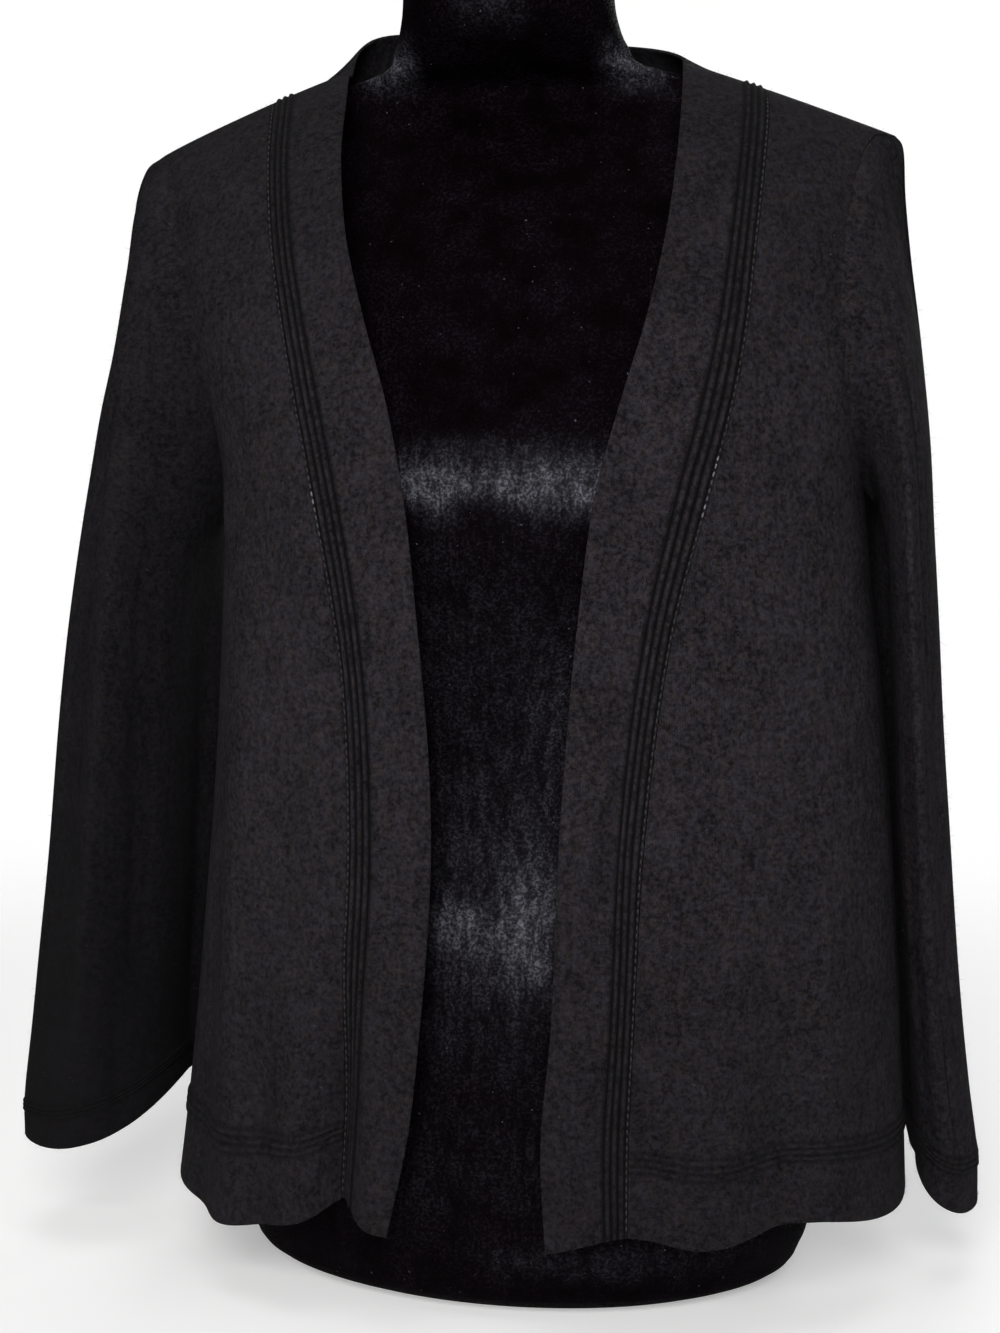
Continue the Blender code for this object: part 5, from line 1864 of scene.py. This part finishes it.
@dataclass(frozen=True)
class DressForm:
    """The limbless form, covered in velvet, on its flat underside."""

    around: int = 200
    row_step: float = 0.0030
    least_rows: int = 3
    cap_shares: tuple = (0.90, 0.72, 0.50, 0.26)
    clearance: float = 0.0006
    patch_softness: float = 1.3

    def heights(self) -> np.ndarray:
        """Heights of the form's rings, closest where its edges round off."""
        known = [level.height for level in FORM_LEVELS]
        rows = []
        for low, high in zip(known, known[1:]):
            count = max(round((high - low) / self.row_step), self.least_rows)
            rows.append(np.linspace(low, high, count, endpoint=False))
        return np.concatenate(rows + [np.array(known[-1:])])

    def rings(self) -> np.ndarray:
        """Points of the form's sides, rings x points x 3."""
        level = FormLevel(*FORM_CURVES.columns(self.heights()))
        turn = np.linspace(0.0, 2 * math.pi, self.around, endpoint=False)[None, :]
        depth = np.where(np.sin(turn) < 0, level.front[:, None], level.back[:, None]) - self.clearance
        x = level.centre[:, None] + (level.half_width[:, None] - self.clearance) * np.cos(turn)
        y = level.middle[:, None] + depth * np.sin(turn)
        return np.stack([x, y, np.broadcast_to(level.height[:, None], x.shape)], axis=-1)

    def cap(self, ring: np.ndarray) -> np.ndarray:
        """Smaller rings inside an end ring, which close that end."""
        middle = ring.mean(axis=0)
        return np.array([middle + (ring - middle) * share for share in self.cap_shares])

    def painted_highlight(self, points: np.ndarray) -> np.ndarray:
        """How strong the painted highlight is at each point.

        Args:
            points: Points of the form.

        Returns:
            0 to 1 at each.
        """
        highlight_share = np.zeros(len(points))
        for patch in PAINTED_HIGHLIGHTS:
            on_face = np.sign(points[:, 1] + 1e-9) == patch.face.value
            away = ((points[:, 0] - patch.x) / patch.half_width) ** 4
            away = away + ((points[:, 2] - patch.height) / patch.half_height) ** 2
            highlight_share += patch.strength * np.exp(-self.patch_softness * away) * on_face
        return np.clip(highlight_share, 0.0, 1.0)

    def build(self, material: bpy.types.Material) -> bpy.types.Object:
        """Builds the form, which takes its node's place.

        Args:
            material: The velvet.

        Returns:
            The piece.
        """
        sides = self.rings()
        rings = np.concatenate([self.cap(sides[0])[::-1], sides, self.cap(sides[-1])])
        count = len(rings)
        vertices = rings.reshape(-1, 3)
        row, column = np.meshgrid(np.arange(count - 1), np.arange(self.around), indexing="ij")
        start = (row * self.around).ravel()
        column = column.ravel()
        after = (column + 1) % self.around
        above = start + self.around
        quads = np.stack([start + column, start + after, above + after, above + column], axis=1).tolist()
        quads.append(list(range(self.around))[::-1])
        quads.append([(count - 1) * self.around + place for place in range(self.around)])
        mesh = bpy.data.meshes.new("dress_form_velvet")
        mesh.from_pydata(vertices.tolist(), [], quads)
        keep_values(mesh, "painted_highlight", self.painted_highlight(vertices))
        piece = add_piece(mesh, material)
        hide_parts("dress_form")
        return piece


class SoftLight(NamedTuple):
    """A soft square light of the studio."""

    name: str
    place: tuple
    aim: tuple
    size: float
    power: float
    colour: tuple


SOFT_LIGHTS = (
    SoftLight("front_window", (0.22, -2.3, 1.25), (0.0, 0.0, 0.42), 1.2, 57.0, (1.0, 0.985, 0.98)),
    SoftLight("left_fill", (-2.2, -1.6, 0.9), (0.0, 0.0, 0.32), 1.2, 2.5, (1.0, 0.97, 0.94)),
    SoftLight("right_fill", (2.3, -1.4, 0.9), (0.0, 0.0, 0.32), 1.2, 6.0, (0.93, 0.96, 1.0)),
    SoftLight("behind", (0.3, 2.4, 1.2), (0.0, 0.0, 0.32), 1.4, 22.0, (1.0, 1.0, 1.0)),
    SoftLight("above", (0.0, -0.2, 2.4), (0.0, 0.0, 0.0), 1.6, 14.0, (1.0, 1.0, 1.0)),
)


@dataclass(frozen=True)
class Studio:
    """A plain pale floor, soft light and the camera at the photograph's angle."""

    floor_radius: float = 1.5
    floor_clear: float = 0.45
    floor_colour: tuple = (0.86, 0.86, 0.86, 1.0)
    backdrop: float = 1.0
    room_light: float = 0.09
    floor_glow: float = 0.30
    floor_sides: int = 96
    floor_drop: float = 0.0002
    floor_roughness: float = 0.95
    floor_edge: float = 0.98
    yaw: float = 12.0
    distance: float = 1.15
    height: float = 0.43
    tilt: float = 5.45
    aside: float = -0.01272
    focal_pixels: float = 2170.0
    picture_height: float = 1333.0
    sensor: float = 36.0

    def floor(self) -> bpy.types.Object:
        """A round floor that fades out into the backdrop.

        Returns:
            The floor.
        """
        bpy.ops.mesh.primitive_circle_add(
            vertices=self.floor_sides, radius=self.floor_radius, fill_type="NGON"
        )
        floor = bpy.context.object
        floor.name = "studio_floor"
        floor.location = (0.0, 0.0, -self.floor_drop)
        material, bench, shader = start_material("studio_floor_paint")
        shader.inputs["Base Color"].default_value = self.floor_colour
        shader.inputs["Roughness"].default_value = self.floor_roughness
        seen = bench.node("ShaderNodeLightPath").outputs["Is Camera Ray"]
        shader.inputs["Emission Color"].default_value = (1.0, 1.0, 1.0, 1.0)
        bench.join(bench.maths("MULTIPLY", seen, self.floor_glow), shader.inputs["Emission Strength"])
        place = bench.node("ShaderNodeTexCoord").outputs["Object"]
        far = bench.node("ShaderNodeVectorMath", operation="LENGTH")
        bench.join(place, far.inputs[0])
        fade = bench.ramp(far.outputs["Value"], self.floor_clear, self.floor_radius * self.floor_edge)
        clear = bench.node("ShaderNodeBsdfTransparent")
        mixed = bench.node("ShaderNodeMixShader")
        output = material.node_tree.nodes["Material Output"]
        bench.join(fade, mixed.inputs[0])
        bench.join(shader.outputs[0], mixed.inputs[1])
        bench.join(clear.outputs[0], mixed.inputs[2])
        bench.join(mixed.outputs[0], output.inputs["Surface"])
        floor.data.materials.append(material)
        return floor

    def room(self) -> None:
        """A white backdrop for the eye, and dim even light for the cloth."""
        world = bpy.data.worlds.new("studio_room")
        bpy.context.scene.world = world
        world.use_nodes = True
        bench = ShaderBench(world.node_tree)
        path = bench.node("ShaderNodeLightPath").outputs["Is Camera Ray"]
        level = bench.maths("MULTIPLY_ADD", path, self.backdrop - self.room_light, self.room_light)
        bench.join(level, world.node_tree.nodes["Background"].inputs["Strength"])
        world.node_tree.nodes["Background"].inputs["Color"].default_value = (1.0, 1.0, 1.0, 1.0)

    def lights(self) -> None:
        """Hangs the soft lights."""
        for soft in SOFT_LIGHTS:
            data = bpy.data.lights.new(soft.name, "AREA")
            data.shape = "SQUARE"
            data.size = soft.size
            data.energy = soft.power
            data.color = soft.colour
            light = bpy.data.objects.new(soft.name, data)
            light.location = soft.place
            aim = Vector(soft.aim) - Vector(soft.place)
            light.rotation_euler = aim.to_track_quat("-Z", "Y").to_euler()
            bpy.context.scene.collection.objects.link(light)

    def camera(self) -> bpy.types.Object:
        """The camera, a little to the right of the form's middle and tilted down.

        Returns:
            The camera.
        """
        yaw = math.radians(self.yaw)
        data = bpy.data.cameras.new("photo_camera")
        data.sensor_width = self.sensor
        data.sensor_fit = "AUTO"
        data.lens = self.focal_pixels / self.picture_height * self.sensor
        camera = bpy.data.objects.new("photo_camera", data)
        x = self.distance * math.sin(yaw) + self.aside * math.cos(yaw)
        y = -self.distance * math.cos(yaw) + self.aside * math.sin(yaw)
        camera.location = (x, y, self.height)
        camera.rotation_euler = (math.radians(90.0 - self.tilt), 0.0, yaw)
        bpy.context.scene.collection.objects.link(camera)
        bpy.context.scene.camera = camera
        return camera

    def build(self) -> None:
        """Sets up the whole studio."""
        self.camera()
        self.floor()
        self.room()
        self.lights()
        bpy.context.scene.view_settings.view_transform = "Standard"


def report(piece: bpy.types.Object) -> None:
    """Logs a piece's name and size."""
    count = sum(len(face.vertices) - 2 for face in piece.data.polygons)
    size = [round(value * 1000) for value in piece.dimensions]
    LOG.info("%s: %d triangles, %s mm", piece.name, count, size)


def main() -> None:
    """Builds the studio, the form and the cardigan in order, and reports each piece."""
    logging.basicConfig(level=logging.INFO, format="%(name)s: %(message)s", stream=sys.stdout)
    Studio().build()
    effects = Effects()
    report(DressForm().build(VelvetFinish().material(effects)))
    cardigan = Cardigan()
    cardigan.cut_out()
    for piece in cardigan.dress(effects):
        report(piece)
    thread = ThreadFinish().material(effects)
    by_node = {piece.node: piece for piece in cardigan.pieces}
    report(StripStitches(Side.LEFT, 0.392, 0.424).build(by_node["band_left"], thread))
    report(StripStitches(Side.RIGHT, 0.400, 0.432).build(by_node["band_right"], thread))
    report(Fuzz().build(cardigan.pieces, thread))
    bpy.context.view_layer.update()


if __name__ == "__main__":
    main()
